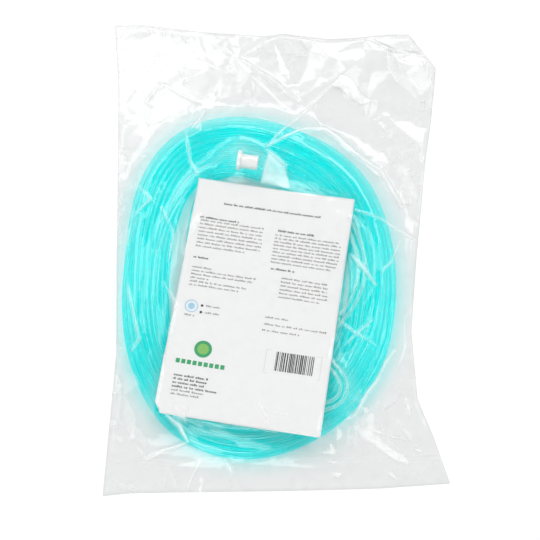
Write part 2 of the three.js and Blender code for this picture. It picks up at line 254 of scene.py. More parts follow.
def stacked(*parts: np.ndarray) -> np.ndarray:
    """Returns the coordinates of points as the columns of one array."""
    return np.column_stack([part.ravel() for part in parts])


def hand_over(ob: Object, slot: Slot, *nodes: str) -> None:
    """Attaches a piece to the body that it rides on and hides the nodes that it replaces.

    Args:
        ob: The piece.
        slot: Its material slot; not used.
        *nodes: The nodes that it replaces.
    """
    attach(ob, Body.ROOT.value)
    if nodes:
        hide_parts(*nodes)


def applied(ob: Object) -> Object:
    """Turns an object's modifiers into its plain mesh.

    Args:
        ob: The object, whose modifiers are all to be kept in its shape.

    Returns:
        The same object with a plain mesh and no modifiers.
    """
    graph = bpy.context.evaluated_depsgraph_get()
    mesh = bpy.data.meshes.new_from_object(ob.evaluated_get(graph), depsgraph=graph)
    old = ob.data
    ob.modifiers.clear()
    ob.data = mesh
    mesh.name = ob.name
    if old.users == 0:
        bpy.data.meshes.remove(old)
    return ob


def grid_faces(rows: int, columns: int) -> list:
    """Returns the faces of a grid of points, wound so that they face up when rows run along +Y."""
    return [
        (a, a + 1, a + columns + 1, a + columns)
        for j in range(rows - 1)
        for a in range(j * columns, j * columns + columns - 1)
    ]


# Node trees


def put(tree: NodeTree, kind: str, inputs: dict | None = None, **settings) -> Node:
    """Adds a node to a tree.

    Args:
        tree: The tree.
        kind: The node's type.
        inputs: For each input, by name or number, a socket to link it to or a value.
        **settings: The node's own settings.

    Returns:
        The node.
    """
    node = tree.nodes.new(kind)
    for name, value in settings.items():
        setattr(node, name, value)
    for name, value in (inputs or {}).items():
        if isinstance(value, NodeSocket):
            tree.links.new(value, node.inputs[name])
        else:
            node.inputs[name].default_value = value
    return node


def new_group(name: str, kind: str, inputs: dict, output: tuple) -> NodeTree:
    """Starts a node group with named sockets.

    Args:
        name: The group's name.
        kind: Its type.
        inputs: The type of each input, by name.
        output: The output's name and type.

    Returns:
        The group.
    """
    tree = bpy.data.node_groups.new(name, kind)
    for socket, of in inputs.items():
        tree.interface.new_socket(socket, in_out="INPUT", socket_type=f"NodeSocket{of}")
    tree.interface.new_socket(output[0], in_out="OUTPUT", socket_type=f"NodeSocket{output[1]}")
    return tree


def sums(tree: NodeTree, operation: str, a: NodeSocket, b: NodeSocket, clamp: bool = False) -> NodeSocket:
    """Adds a sum on two values.

    Args:
        tree: The node tree.
        operation: Its name.
        a: The first value's socket.
        b: And the second's.
        clamp: Whether the result is kept from 0 to 1.

    Returns:
        The result's socket.
    """
    return put(tree, "ShaderNodeMath", {0: a, 1: b}, operation=operation, use_clamp=clamp).outputs[0]


def shaped(ob: Object, tree: NodeTree, values: dict) -> Object:
    """Runs a geometry nodes tree on an object and keeps the result as its plain mesh.

    Args:
        ob: The object, whose mesh is the tree's first input.
        tree: The tree.
        values: The values of its other inputs, by name.

    Returns:
        The same object.
    """
    mod = ob.modifiers.new(tree.name, "NODES")
    mod.node_group = tree
    for item in tree.interface.items_tree:
        if item.in_out == "INPUT" and item.name in values:
            mod[item.identifier] = values[item.name]
    return applied(ob)


@cache
def sweep_tree() -> NodeTree:
    """Builds the tree that carries a round section along a path.

    Returns:
        The node tree, with named inputs for radius, sides and material.
    """
    tree = new_group("tube_along_path", "GeometryNodeTree",
                     {"Path": "Geometry", "Radius": "Float", "Sides": "Int", "Material": "Material"},
                     ("Tube", "Geometry"))
    start = put(tree, "NodeGroupInput").outputs
    curve = put(tree, "GeometryNodeMeshToCurve", {"Mesh": start["Path"]})
    section = put(tree, "GeometryNodeCurvePrimitiveCircle",
                  {"Resolution": start["Sides"], "Radius": start["Radius"]})
    sweep = put(tree, "GeometryNodeCurveToMesh", {
        "Curve": curve.outputs["Curve"], "Profile Curve": section.outputs["Curve"], "Fill Caps": True})
    shade = put(tree, "GeometryNodeSetShadeSmooth", {"Geometry": sweep.outputs["Mesh"]})
    real = put(tree, "GeometryNodeRealizeInstances", {"Geometry": shade.outputs["Geometry"]})
    paint = put(tree, "GeometryNodeSetMaterial",
                {"Geometry": real.outputs["Geometry"], "Material": start["Material"]})
    put(tree, "NodeGroupOutput", {"Tube": paint.outputs["Geometry"]})
    return tree


@cache
def print_tree() -> NodeTree:
    """Builds the tree that stamps a thin block at each point and lays it on a sheet.

    Returns:
        The node tree, with named inputs for the sheet, the block and the material.
    """
    tree = new_group("print_on_sheet", "GeometryNodeTree",
                     {"Points": "Geometry", "Sheet": "Object", "Lift": "Float", "Turn": "Float",
                      "Sides": "Int", "Radius": "Float", "Material": "Material"}, ("Print", "Geometry"))
    start = put(tree, "NodeGroupInput").outputs
    size = put(tree, "GeometryNodeInputNamedAttribute", {"Name": "size"}, data_type="FLOAT_VECTOR")
    block = put(tree, "GeometryNodeMeshCylinder",
                {"Vertices": start["Sides"], "Radius": start["Radius"], "Depth": 1.0})
    square = put(tree, "GeometryNodeTransform",
                 {"Geometry": block.outputs["Mesh"], "Rotation": (0, 0, math.pi / 4)})
    stamp = put(tree, "GeometryNodeInstanceOnPoints", {
        "Points": start["Points"], "Instance": square.outputs["Geometry"],
        "Rotation": put(tree, "ShaderNodeCombineXYZ", {"Z": start["Turn"]}).outputs[0],
        "Scale": size.outputs["Attribute"],
    })
    real = put(tree, "GeometryNodeRealizeInstances", {"Geometry": stamp.outputs["Instances"]})
    sheet = put(tree, "GeometryNodeObjectInfo", {"Object": start["Sheet"]}, transform_space="RELATIVE")
    here = put(tree, "ShaderNodeSeparateXYZ",
               {0: put(tree, "GeometryNodeInputPosition").outputs[0]}).outputs
    above = put(tree, "ShaderNodeCombineXYZ", {"X": here["X"], "Y": here["Y"], "Z": 1.0})
    drop = put(tree, "GeometryNodeRaycast", {
        "Target Geometry": sheet.outputs["Geometry"], "Source Position": above.outputs[0],
        "Ray Direction": (0, 0, -1), "Ray Length": 2.0,
    })
    level = put(tree, "ShaderNodeCombineXYZ", {"Z": sums(tree, "ADD", here["Z"], start["Lift"])})
    stand = put(tree, "ShaderNodeVectorMath",
                {0: drop.outputs["Hit Position"], 1: level.outputs[0]}, operation="ADD")
    laid = put(tree, "GeometryNodeSetPosition",
               {"Geometry": real.outputs["Geometry"], "Position": stand.outputs[0]})
    paint = put(tree, "GeometryNodeSetMaterial",
                {"Geometry": laid.outputs["Geometry"], "Material": start["Material"]})
    put(tree, "NodeGroupOutput", {"Print": paint.outputs["Geometry"]})
    return tree


@dataclass(frozen=True)
class TubeSweep:
    """A round tube that follows a path.

    Attributes:
        diameter: Outer diameter of the tube, in mm.
        sides: Sides of its section.
    """

    diameter: float
    sides: int = 12

    def along(self, name: str, path: np.ndarray, material: Material) -> Object:
        """Builds one tube.

        Args:
            name: The piece's name.
            path: Its middle line, in mm.
            material: Its material.

        Returns:
            The tube as a plain mesh.
        """
        ob = add_mesh(name, path, edges=[(i, i + 1) for i in range(len(path) - 1)])
        values = {"Radius": self.diameter / 2 * MM, "Sides": self.sides, "Material": material}
        return shaped(ob, sweep_tree(), values)


# Finishes


def new_material(name: str) -> tuple:
    """Starts a material with an empty node tree.

    Args:
        name: The material's name.

    Returns:
        The material and its node tree.
    """
    mat = bpy.data.materials.new(name)
    mat.use_nodes = True
    mat.node_tree.nodes.clear()
    return mat, mat.node_tree


def finished(mat: Material, shader: Node) -> Material:
    """Makes a shader the surface of a material and returns the material."""
    put(mat.node_tree, "ShaderNodeOutputMaterial", {"Surface": shader.outputs[0]})
    return mat


def mix_colour(tree: NodeTree, factor: NodeSocket, low: tuple, high: tuple) -> NodeSocket:
    """Adds a colour mix.

    Args:
        tree: The node tree.
        factor: The socket that drives the mix.
        low: Colour at 0, or its socket.
        high: Colour at 1.

    Returns:
        The mixed colour's socket.
    """
    low = low if isinstance(low, NodeSocket) else (*low, 1)
    return put(tree, "ShaderNodeMix", {0: factor, 6: low, 7: (*high, 1)}, data_type="RGBA").outputs[2]


def mix_shader(tree: NodeTree, share: NodeSocket, low: Node, high: Node) -> Node:
    """Adds a mix of two shaders, of which the share is the second one's."""
    return put(tree, "ShaderNodeMixShader", {0: share, 1: low.outputs[0], 2: high.outputs[0]})


def mapped(tree: NodeTree, value: NodeSocket, low: tuple, high: tuple) -> NodeSocket:
    """Adds a Map Range.

    Args:
        tree: The node tree.
        value: The socket to map.
        low: Its value at the low end, and what that gives.
        high: Its value at the high end, and what that gives.

    Returns:
        The mapped value's socket.
    """
    return put(tree, "ShaderNodeMapRange", {
        "Value": value, "From Min": low[0], "To Min": low[1], "From Max": high[0], "To Max": high[1],
    }).outputs["Result"]


@cache
def cloud_group() -> NodeTree:
    """Builds the shared group of soft, uneven clouds on Object coordinates.

    Returns:
        A shader node group with inputs Scale and Detail and output Cloud, about 0 to 1.
    """
    tree = new_group("uneven_cloud", "ShaderNodeTree", {"Scale": "Float", "Detail": "Float"},
                     ("Cloud", "Float"))
    start = put(tree, "NodeGroupInput").outputs
    place = put(tree, "ShaderNodeTexCoord").outputs["Object"]
    noise = put(tree, "ShaderNodeTexNoise",
                {"Vector": place, "Scale": start["Scale"], "Detail": start["Detail"]})
    put(tree, "NodeGroupOutput", {"Cloud": mapped(tree, noise.outputs["Fac"], (0.3, 0), (0.7, 1))})
    return tree


def cloud(tree: NodeTree, scale: float, detail: float) -> NodeSocket:
    """Places the cloud group in a material.

    Args:
        tree: The material's node tree.
        scale: Features for each metre.
        detail: Octaves of detail.

    Returns:
        The group's output socket.
    """
    return put(tree, "ShaderNodeGroup", {"Scale": scale, "Detail": detail},
               node_tree=cloud_group()).outputs["Cloud"]


def turned(tree: NodeTree) -> NodeSocket:
    """Returns a socket that is 0 where a surface faces the viewer and 1 where it is seen edge on."""
    return put(tree, "ShaderNodeLayerWeight", {"Blend": 0.5}).outputs["Facing"]


def in_shade(tree: NodeTree) -> NodeSocket:
    """Returns a socket that is 1 for light on its way to what lies below."""
    return put(tree, "ShaderNodeLightPath").outputs["Is Shadow Ray"]


def mirror(tree: NodeTree, rough: float, **inputs) -> Node:
    """Adds a white mirror of a given roughness."""
    return put(tree, "ShaderNodeBsdfGlossy", {"Color": (1, 1, 1, 1), "Roughness": rough, **inputs})


def grained(tree: NodeTree, uneven: NodeSocket, strength: float, depth: float) -> NodeSocket:
    """Adds a bump.

    Args:
        tree: The node tree.
        uneven: The socket of its heights, 0 to 1.
        strength: How strongly it turns the surface.
        depth: Its depth, in metres.

    Returns:
        The socket of the turned normal.
    """
    bump = put(tree, "ShaderNodeBump", {"Strength": strength, "Distance": depth, "Height": uneven})
    return bump.outputs["Normal"]


@dataclass(frozen=True)
class TubingFinish:
    """Translucent soft tubing: a clear tint that deepens towards its edges, under a wet gloss.

    Attributes:
        name: The material's name.
        middle: What one wall lets through where it is seen square on.
        edge: What it lets through where it is seen along its wall.
        body: Colour of the light that the plastic scatters.
        cloudy: Share of light that it scatters, in the middle and at the edge.
        gloss: Share of light that its outside mirrors, in the middle and at the edge.
        wall: How far the surface is turned away where its middle ends and where its edge starts.
        onwards: Share of the scattering that still shades what lies below.
        pale: How much whiter the scattered light is where the plastic is uneven.
        rough: Roughness of the plastic, least and most.
        wet: Roughness of its gloss.
    """

    name: str
    middle: tuple
    edge: tuple
    body: tuple
    cloudy: tuple = (0.16, 0.5)
    gloss: tuple = (0.045, 0.3)
    wall: tuple = (0.32, 0.7)
    onwards: float = 0.4
    pale: float = 0.15
    rough: tuple = (0.16, 0.3)
    wet: float = 0.06

    def build(self) -> Material:
        """Builds the material.

        Returns:
            The material, ready to assign.
        """
        mat, tree = new_material(self.name)
        facing, shade, uneven = turned(tree), in_shade(tree), cloud(tree, 55.0, 1.0)
        inside = put(tree, "ShaderNodeNewGeometry").outputs["Backfacing"]
        along = mapped(tree, facing, (self.wall[0], 0), (self.wall[1], 1))
        clear = put(tree, "ShaderNodeBsdfTransparent",
                    {"Color": mix_colour(tree, along, self.middle, self.edge)})
        pale = tuple((1 - self.pale) * c + self.pale for c in self.body)
        plastic = put(tree, "ShaderNodeBsdfPrincipled", {
            "IOR": 1.53, "Base Color": mix_colour(tree, uneven, self.body, pale),
            "Roughness": mapped(tree, uneven, (0, self.rough[0]), (1, self.rough[1])),
        })
        share = sums(tree, "MULTIPLY", mapped(tree, facing, (0.1, self.cloudy[0]), (1, self.cloudy[1])),
                     mapped(tree, shade, (0, 1), (1, self.onwards)))
        milky = mix_shader(tree, share, clear, plastic)
        hidden = sums(tree, "MAXIMUM", inside, shade)
        outer = sums(tree, "MULTIPLY", mapped(tree, facing, (0.55, self.gloss[0]), (1, self.gloss[1])),
                     mapped(tree, hidden, (0, 1), (1, 0)))
        return finished(mat, mix_shader(tree, outer, milky, mirror(tree, self.wet)))


@dataclass(frozen=True)
class FilmFinish:
    """Clear packing film: almost invisible square on, mirror-bright where a crease turns it.

    The mesh's masks say where it is white ("veil"), partly real whitening at creases and the seal
    and partly painted glare that stands for reflections of the lights; where a painted glow of the coil's
    light tints it turquoise ("glow"); and where two films are welded ("weld"). A mask that a mesh lacks is 0.

    Attributes:
        name: The material's name.
        through: What the film lets through.
        glow: What it lets through beside the tubes: a turquoise tint that is a painted glow of the coil's
            light.
        weld: Share of that which the welded edge lets through.
        gloss: Share of light that it mirrors, square on and at its edge.
        onwards: Share of that gloss that still shades what lies below.
        haze: Largest share of light that its scuffs scatter.
        veil: Share of that mask that shows, least and most: partly real whitening, partly painted glare.
        wet: Roughness of its gloss.
        grain: Strength of its fine grain and the grain's depth in metres.
    """

    name: str
    through: tuple = (0.958, 0.96, 0.96)
    glow: tuple = (0.78, 0.965, 0.965)
    weld: float = 0.9
    gloss: tuple = (0.032, 0.5)
    onwards: float = 0.3
    haze: float = 0.03
    veil: tuple = (0.6, 1.1)
    wet: float = 0.11
    grain: tuple = (0.5, 0.0004)

    def build(self) -> Material:
        """Builds the material.

        Returns:
            The material, ready to assign.
        """
        mat, tree = new_material(self.name)
        glow, weld, veil = (
            put(tree, "ShaderNodeAttribute", attribute_name=name).outputs["Fac"]
            for name in ("glow", "weld", "veil")
        )
        facing, shade, uneven = turned(tree), in_shade(tree), cloud(tree, 60.0, 2.0)
        # Painted glow: beside the coil the film is tinted turquoise, standing in for the coil's coloured
        # light
        tint = mix_colour(tree, glow, self.through, self.glow)
        welded = tuple(self.weld * c for c in self.through)
        clear = put(tree, "ShaderNodeBsdfTransparent", {"Color": mix_colour(tree, weld, tint, welded)})
        # Painted glare: this white layer paints reflections of the lights on the masked patches, facets and
        # creases, as well as the real whitening of creases and the seal and the random haze
        haze_and_glare = put(tree, "ShaderNodeBsdfPrincipled",
                    {"Base Color": (0.97, 0.975, 0.975, 1), "Roughness": 0.45})
        white = sums(tree, "MULTIPLY", veil, mapped(tree, uneven, (0, self.veil[0]), (1, self.veil[1])))
        haze_and_glare_share = sums(tree, "ADD", white, mapped(tree, uneven, (0.35, 0.0), (1, self.haze)), clamp=True)
        cloudy = mix_shader(tree, haze_and_glare_share, clear, haze_and_glare)
        outer = sums(tree, "MULTIPLY", mapped(tree, facing, (0.1, self.gloss[0]), (1, self.gloss[1])),
                     mapped(tree, shade, (0, 1), (1, self.onwards)))
        shine = mirror(tree, self.wet, Normal=grained(tree, uneven, *self.grain))
        return finished(mat, mix_shader(tree, outer, cloudy, shine))


@dataclass(frozen=True)
class SolidFinish:
    """Plain moulded plastic or paper, slightly uneven in colour and gloss.

    Attributes:
        name: The material's name.
        low: Colour where the unevenness is least.
        high: Colour where it is most.
        rough: Roughness at the two.
        grain: Features of the unevenness for each metre.
        relief: Depth of the surface's grain, in mm.
    """

    name: str
    low: tuple
    high: tuple
    rough: tuple = (0.5, 0.7)
    grain: float = 900.0
    relief: float = 0.01

    def build(self) -> Material:
        """Builds the material.

        Returns:
            The material, ready to assign.
        """
        mat, tree = new_material(self.name)
        uneven = cloud(tree, self.grain, 5.0)
        return finished(mat, put(tree, "ShaderNodeBsdfPrincipled", {
            "Base Color": mix_colour(tree, uneven, self.low, self.high),
            "Roughness": mapped(tree, uneven, (0, self.rough[0]), (1, self.rough[1])),
            "Normal": grained(tree, uneven, 0.6, self.relief * MM),
        }))


INKS = {
    Ink.PALE: ((0.6, 0.6, 0.6), (0.68, 0.68, 0.68)),
    Ink.LIME: ((0.2, 0.5, 0.12), (0.28, 0.58, 0.16)),
    Ink.GREY: ((0.2, 0.19, 0.185), (0.32, 0.3, 0.29), (0.6, 0.8), 1500.0),
    Ink.GREEN: ((0.02, 0.33, 0.13), (0.05, 0.42, 0.17)),
    Ink.BLUE: ((0.33, 0.6, 0.78), (0.42, 0.68, 0.84)),
    Ink.BLACK: ((0.012, 0.011, 0.012), (0.03, 0.03, 0.03), (0.45, 0.65), 1500.0),
}


@dataclass
class Finishes:
    """All the materials, built once."""

    supply: Material
    lumen: Material
    film: Material
    back_film: Material
    white: Material
    clear: Material
    paper: Material
    inks: dict

    @classmethod
    def build(cls) -> "Finishes":
        """Builds every material.

        Returns:
            The materials.
        """
        return cls(
            supply=TubingFinish("turquoise_tubing", (0.3, 0.999, 0.998), (0.002, 0.994, 0.992),
                                (0.0, 0.95, 0.94), (0.015, 0.09), (0.07, 0.32)).build(),
            lumen=TubingFinish("pale_tubing", (0.93, 0.992, 0.988), (0.6, 0.965, 0.955),
                               (0.8, 0.93, 0.91), (0.12, 0.4)).build(),
            film=FilmFinish("clear_film").build(),
            back_film=FilmFinish("clear_film_back", gloss=(0.03, 0.5)).build(),
            white=SolidFinish("white_plastic", (0.86, 0.87, 0.86), (0.92, 0.93, 0.92),
                              (0.28, 0.4), 400.0, 0.03).build(),
            clear=TubingFinish("clear_plastic", (0.93, 0.975, 0.97), (0.72, 0.86, 0.85),
                               (0.75, 0.88, 0.86)).build(),
            paper=SolidFinish("leaflet_paper", (0.86, 0.86, 0.862), (0.89, 0.89, 0.89),
                              (0.7, 0.85), relief=0.02).build(),
            inks={ink: SolidFinish(ink.value, *look).build() for ink, look in INKS.items()},
        )


# The supply tube and its coil


@dataclass
class CoilBand:
    """The oval band that the supply tube is wound in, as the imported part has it.

    Attributes:
        stations: Places round the band at which the turns are laid.
        half_side: Half its width on its long sides, in mm.
        half_end: And at its ends.
        route: Its middle line, in mm.
        section: Shares of the half width, and how high its top is there in mm.
    """

    stations: int = 112
    half_side: float = 29.0
    half_end: float = 35.5
    route: tuple = (
        (-40, 90), (2, 84), (38, 65), (64, 32), (77, -24), (66, -95), (33, -137),
        (-23, -158), (-68, -143), (-96, -97), (-103, -27), (-92, 50), (-70, 80),
    )
    section: tuple = (
        (-1, 2.8), (-0.92, 5.4), (-0.5, 7.5), (-0.1, 12), (0.3, 14.6), (0.7, 14.2), (0.93, 9.5), (1, 4),
    )

    def __post_init__(self) -> None:
        """Works out the middle line, its outward direction and the half width at each station."""
        self.at = evenly(smooth_line(self.route, closed=True), self.stations, closed=True)
        along = np.roll(self.at, -1, axis=0) - np.roll(self.at, 1, axis=0)
        along /= np.linalg.norm(along, axis=1)[:, None]
        self.out = np.column_stack([-along[:, 1], along[:, 0]])
        self.half = self.half_side + (self.half_end - self.half_side) * self.out[:, 1] ** 2

    def nearest(self, x: float, y: float) -> int:
        """Returns the station nearest to a point."""
        return int(np.argmin(np.hypot(self.at[:, 0] - x, self.at[:, 1] - y)))

    def top(self, share: np.ndarray) -> np.ndarray:
        """Returns the height of the band's top at a share of its half width."""
        shares, heights = zip(*self.section)
        return FLOOR + np.interp(share, shares, heights)


@dataclass
class SupplyTube:
    """The supply tube: from the Y connector into the coil, round it, and out to the connector.

    Attributes:
        band: The band that it is wound in.
        finish: Its material.
        lanes: Where each turn would lie across the band, as shares of the half width.
        seed: Seed of the way the turns wander.
        wander: How far a turn strays from its lane, in mm.
        waves: How often it swings in one turn, for each wave of its wandering, and how fast they fade.
        crowd: Share of the way to the outer edge that the turns on the left are drawn.
        pile: How much higher the last turn starts than the first, in mm.
        rounds: Rounds of settling.
        stiff: How strongly the tube keeps straight in each.
        pull: Share of the way to its lane that a turn goes in a round, at first and at last.
        calm: Share of the rounds with the first pull.
        sink: How far a turn sinks in a round, in mm.
        entry: Where the first turn starts.
        leave: Where the last turn ends.
        leave_lane: How far from the band's middle it ends, in mm.
        leave_height: How high it ends, in mm.
        fade: Steps over which the coil's first and last stretch are held in place.
        cut: Steps of the coil that the tail and the lead take the place of.
        inset: How far past the band's inner side the first turn starts, in mm.
        lift: And how far above the floor.
        straighten: Share of the way to its neighbours' middle that a point goes.
        push: Share of an overlap by which each of two turns gives way.
        proud: How far a turn may stand above the band's top, in mm.
        tail: The route from the Y connector to the coil, in mm.
        lead: And from the coil to the connector.
    """

    band: CoilBand
    finish: Material
    lanes: tuple = (
        -0.86, -0.62, -0.34, -0.08, 0.2, 0.46, 0.7, 0.88, 0.64, 0.36, 0.08, -0.22, -0.5,
        -0.05, 0.26, 0.55, 0.78, 0.48, 0.18, 0.42, 0.3,
    )
    seed: int = 11
    wander: float = 9.0
    waves: tuple = ((0.31, 0.47, 0.83, 1.21, 1.63), 0.4)
    crowd: float = 0.3
    pile: float = 10.5
    rounds: int = 240
    stiff: int = 6
    pull: tuple = (0.06, 0.03)
    calm: float = 0.6
    sink: float = 0.09
    entry: tuple = (-96, -86)
    leave: tuple = (-103, -34)
    leave_lane: float = 1.0
    leave_height: float = 16.2
    fade: tuple = (10.0, 12.0)
    cut: tuple = (6, 5)
    inset: float = 1.0
    lift: float = 0.3
    straighten: float = 0.4
    push: float = 0.33
    proud: float = 0.4
    tail: tuple = (
        (1, -88.3, 5.45), (1, -92, 5.45), (-1, -102, 5.2), (-8, -112.5, 4), (-24, -121, 3.45),
        (-41, -118, 3.45), (-54, -108, 3.45), (-62.4, -95, 3.45),
    )
    lead: tuple = (
        (-102, -24, 16.2), (-98, 0, 15.6), (-90, 23, 13.7), (-78, 46, 11.6), (-66, 62, 11.3),
        (-54, 70, 11.6), (-41.4, 74.8, 17.9), (-33.5, 73.5, 17.9),
    )

    def goal(self, way: np.ndarray, station: np.ndarray) -> np.ndarray:
        """Works out where the turns would lie if they didn't push each other.

        Args:
            way: How many turns have passed at each step.
            station: The band's station at each step.

        Returns:
            How far outwards from the band's middle each step would lie, in mm.
        """
        band, half, rows = self.band, self.band.half[station], len(self.lanes)
        rng = np.random.default_rng(self.seed)
        lane = np.interp(way, np.arange(rows + 1), [*self.lanes, self.lanes[-1]])
        often, fading = self.waves
        roam = sum(
            rng.normal(0, 1) * np.sin(2 * math.pi * f * way + rng.uniform(0, 2 * math.pi)) / (1 + i * fading)
            for i, f in enumerate(often)
        )
        goal = lane * half + self.wander * roam / np.abs(roam).max()
        left = eased(60, 100, -band.at[station, 0]) * eased(-150, -110, band.at[station, 1])
        limit = half - SUPPLY_OD / 2
        return np.clip(goal * (1 - self.crowd * left) + self.crowd * left * half, -limit, limit)

    def wound(self) -> np.ndarray:
        """Lays the turns on each other.

        Returns:
            The middle line of the coiled stretch, in mm.
        """
        band, r, rows, n = self.band, SUPPLY_OD / 2, len(self.lanes), self.band.stations
        first, last = band.nearest(*self.entry), band.nearest(*self.leave)
        count = (rows - 1) * n + (last - first)
        step = np.arange(rows * n)
        station, way = (first + step) % n, step / n
        half, live = band.half[station], step < count
        goal = self.goal(way, station)
        u, z = goal.copy(), FLOOR + r + self.pile * way / rows
        pin = np.exp(-step / self.fade[0])
        pin_end = np.exp(-np.maximum(count - 1 - step, 0) / self.fade[1]) * live
        fixed = np.clip(pin + pin_end, 0, 1)
        want_u = np.where(pin > pin_end, -half[0] + r - self.inset, self.leave_lane)
        want_z = np.where(pin > pin_end, FLOOR + r + self.lift, self.leave_height)
        for k in range(self.rounds):
            for _ in range(2):
                self.part(u.reshape(rows, n), z.reshape(rows, n), live.reshape(rows, n))
            u += self.pull[k >= self.rounds * self.calm] * (goal - u)
            z -= self.sink
            for line in (u, z):
                for _ in range(self.stiff if k < self.rounds - 1 else 3 * self.stiff):
                    line[1:-1] += self.straighten * (line[:-2] + line[2:] - 2 * line[1:-1])
            u += fixed * (want_u - u)
            z += fixed * (want_z - z)
            u = np.clip(u, -half + r * 0.9, half - r * 0.9)
            roof = band.top(u / half) - r + self.proud
            z = np.where(fixed > 0.05, z, np.clip(z, FLOOR + r, np.maximum(roof, FLOOR + r)))
            z = np.maximum(z, FLOOR + r)
        flat = band.at[station] + band.out[station] * u[:, None]
        return np.column_stack([flat, z])[:count]

    def part(self, u: np.ndarray, z: np.ndarray, live: np.ndarray) -> None:
        """Moves turns that press into each other a little apart, in place.

        Args:
            u: How far outwards from the band's middle each turn lies, a row for each turn.
            z: And how high.
            live: Which steps the tube has.
        """
        turn = np.arange(len(u))
        du, dz = u[:, None] - u[None], z[:, None] - z[None]
        apart = np.sqrt(du * du + dz * dz) + 1e-6
        deep = np.clip(SUPPLY_OD * 1.01 - apart, 0, None) * live[:, None] * live[None]
        deep[turn, turn] = 0
        u += self.push * (deep * du / apart).sum(1)
        z += self.push * (deep * dz / apart).sum(1)

    def path(self) -> np.ndarray:
        """Joins tail, coil and lead.

        Returns:
            The whole middle line, in mm, from the Y connector to the connector.
        """
        coil = self.wound()[self.cut[0] : 1 - self.cut[1]]
        tail = smooth_line([*self.tail, tuple(coil[0])], per_span=CORD_SAMPLES)[:-1]
        lead = smooth_line([tuple(coil[-1]), *self.lead[1:]], per_span=CORD_SAMPLES)
        return np.vstack([tail, coil[:-1], lead])

    def build(self, far_piece: Object) -> Object:
        """Builds the tube, attaches it and hides the parts that it replaces.

        Args:
            far_piece: The connector on its free end; not used.

        Returns:
            The tube.
        """
        self.line = self.path()
        ob = TubeSweep(SUPPLY_OD).along("supply_tube", self.line, self.finish)
        hand_over(ob, Slot.TUBING, "supply_tube_coil", "supply_tube_lead", "supply_tube_tail")
        return ob


@dataclass
class LumenPair:
    """The two thin tubes from the Y connector to the nosepiece.

    Attributes:
        finish: Their material.
        outer: Route of the one that shows as a bow on the right, in mm.
        inner: And of the one that lies inside it.
    """

    finish: Material
    outer: tuple = (
        (-1.3, -63.7, 5.45), (-1.3, -52.5, 5.45), (-1.3, -37.5, 5.45), (-1.3, -24, 5.45), (5, -2, 6.5),
        (18, 16, 8.5), (36, 27, 8.7), (54, 27, 12.2), (67, 16, 15), (73.5, 0, 15.6), (78, -20, 16),
        (75.5, -44, 15.5), (67, -63, 13.4), (55, -78, 11), (48, -93, 11), (48, -108, 12.9),
        (56, -120, 16.5), (60.5, -132, 17.5), (56, -145, 17.3), (42, -153, 17.4), (18, -159, 17.6),
        (-16, -161, 16.4), (-49, -150, 15.1), (-74, -122, 12.9), (-82, -84, 10.2), (-82, -46, 9.4),
        (-76, -8, 9.4), (-66, 16, 11.5), (-54, 34, 9), (-37, 44, 7.5), (-18, 46, 6.5), (-4, 40, 5.5),
        (0, 30, 4.45), (-4, 21, 4.45), (-9.6, 16.4, 4.45), (-12.2, 13.8, 4.45),
    )
    inner: tuple = (
        (3.3, -63.7, 5.45), (3.3, -52.5, 5.45), (3.3, -37.5, 5.45), (3.3, -24, 5.45), (9.4, -5.2, 6.5),
        (21.7, 12.1, 8.5), (37.6, 21.8, 8.4), (52.2, 21.9, 10.7), (62.6, 12.8, 13.2), (68.3, -1.6, 14),
        (72.6, -20.2, 14.7), (70.3, -42.7, 13.8), (62.4, -60.2, 11.5), (50.4, -75.1, 9.7),
        (42.7, -91.8, 9.6), (42.8, -109.5, 11.7), (51.2, -122.5, 16.1), (55.1, -132, 17.6),
        (51.9, -141.4, 17.5), (40.1, -147.9, 17.6), (17.3, -153.7, 16.9), (-15.3, -155.6, 15.4),
        (-46, -145.5, 13.5), (-69.2, -119.6, 10.9), (-76.7, -82.9, 9.3), (-74, -54, 10.5),
        (-65, -39, 7.5), (-54, -28, 4.45), (-46.4, -20.4, 4.45), (-43.8, -17.8, 4.45),
    )

    def build(self) -> list:
        """Builds both tubes, attaches them and hides the parts that they replace.

        Returns:
            Their middle lines, in mm.
        """
        lines = [smooth_line(points, per_span=CORD_SAMPLES) for points in (self.outer, self.inner)]
        for name, line in zip(("outer", "inner"), lines):
            ob = TubeSweep(LUMEN_OD, 10).along(f"lumen_{name}", line, self.finish)
            hand_over(ob, Slot.PALE, f"lumen_tube_{name}")
        return lines


# Moulded pieces


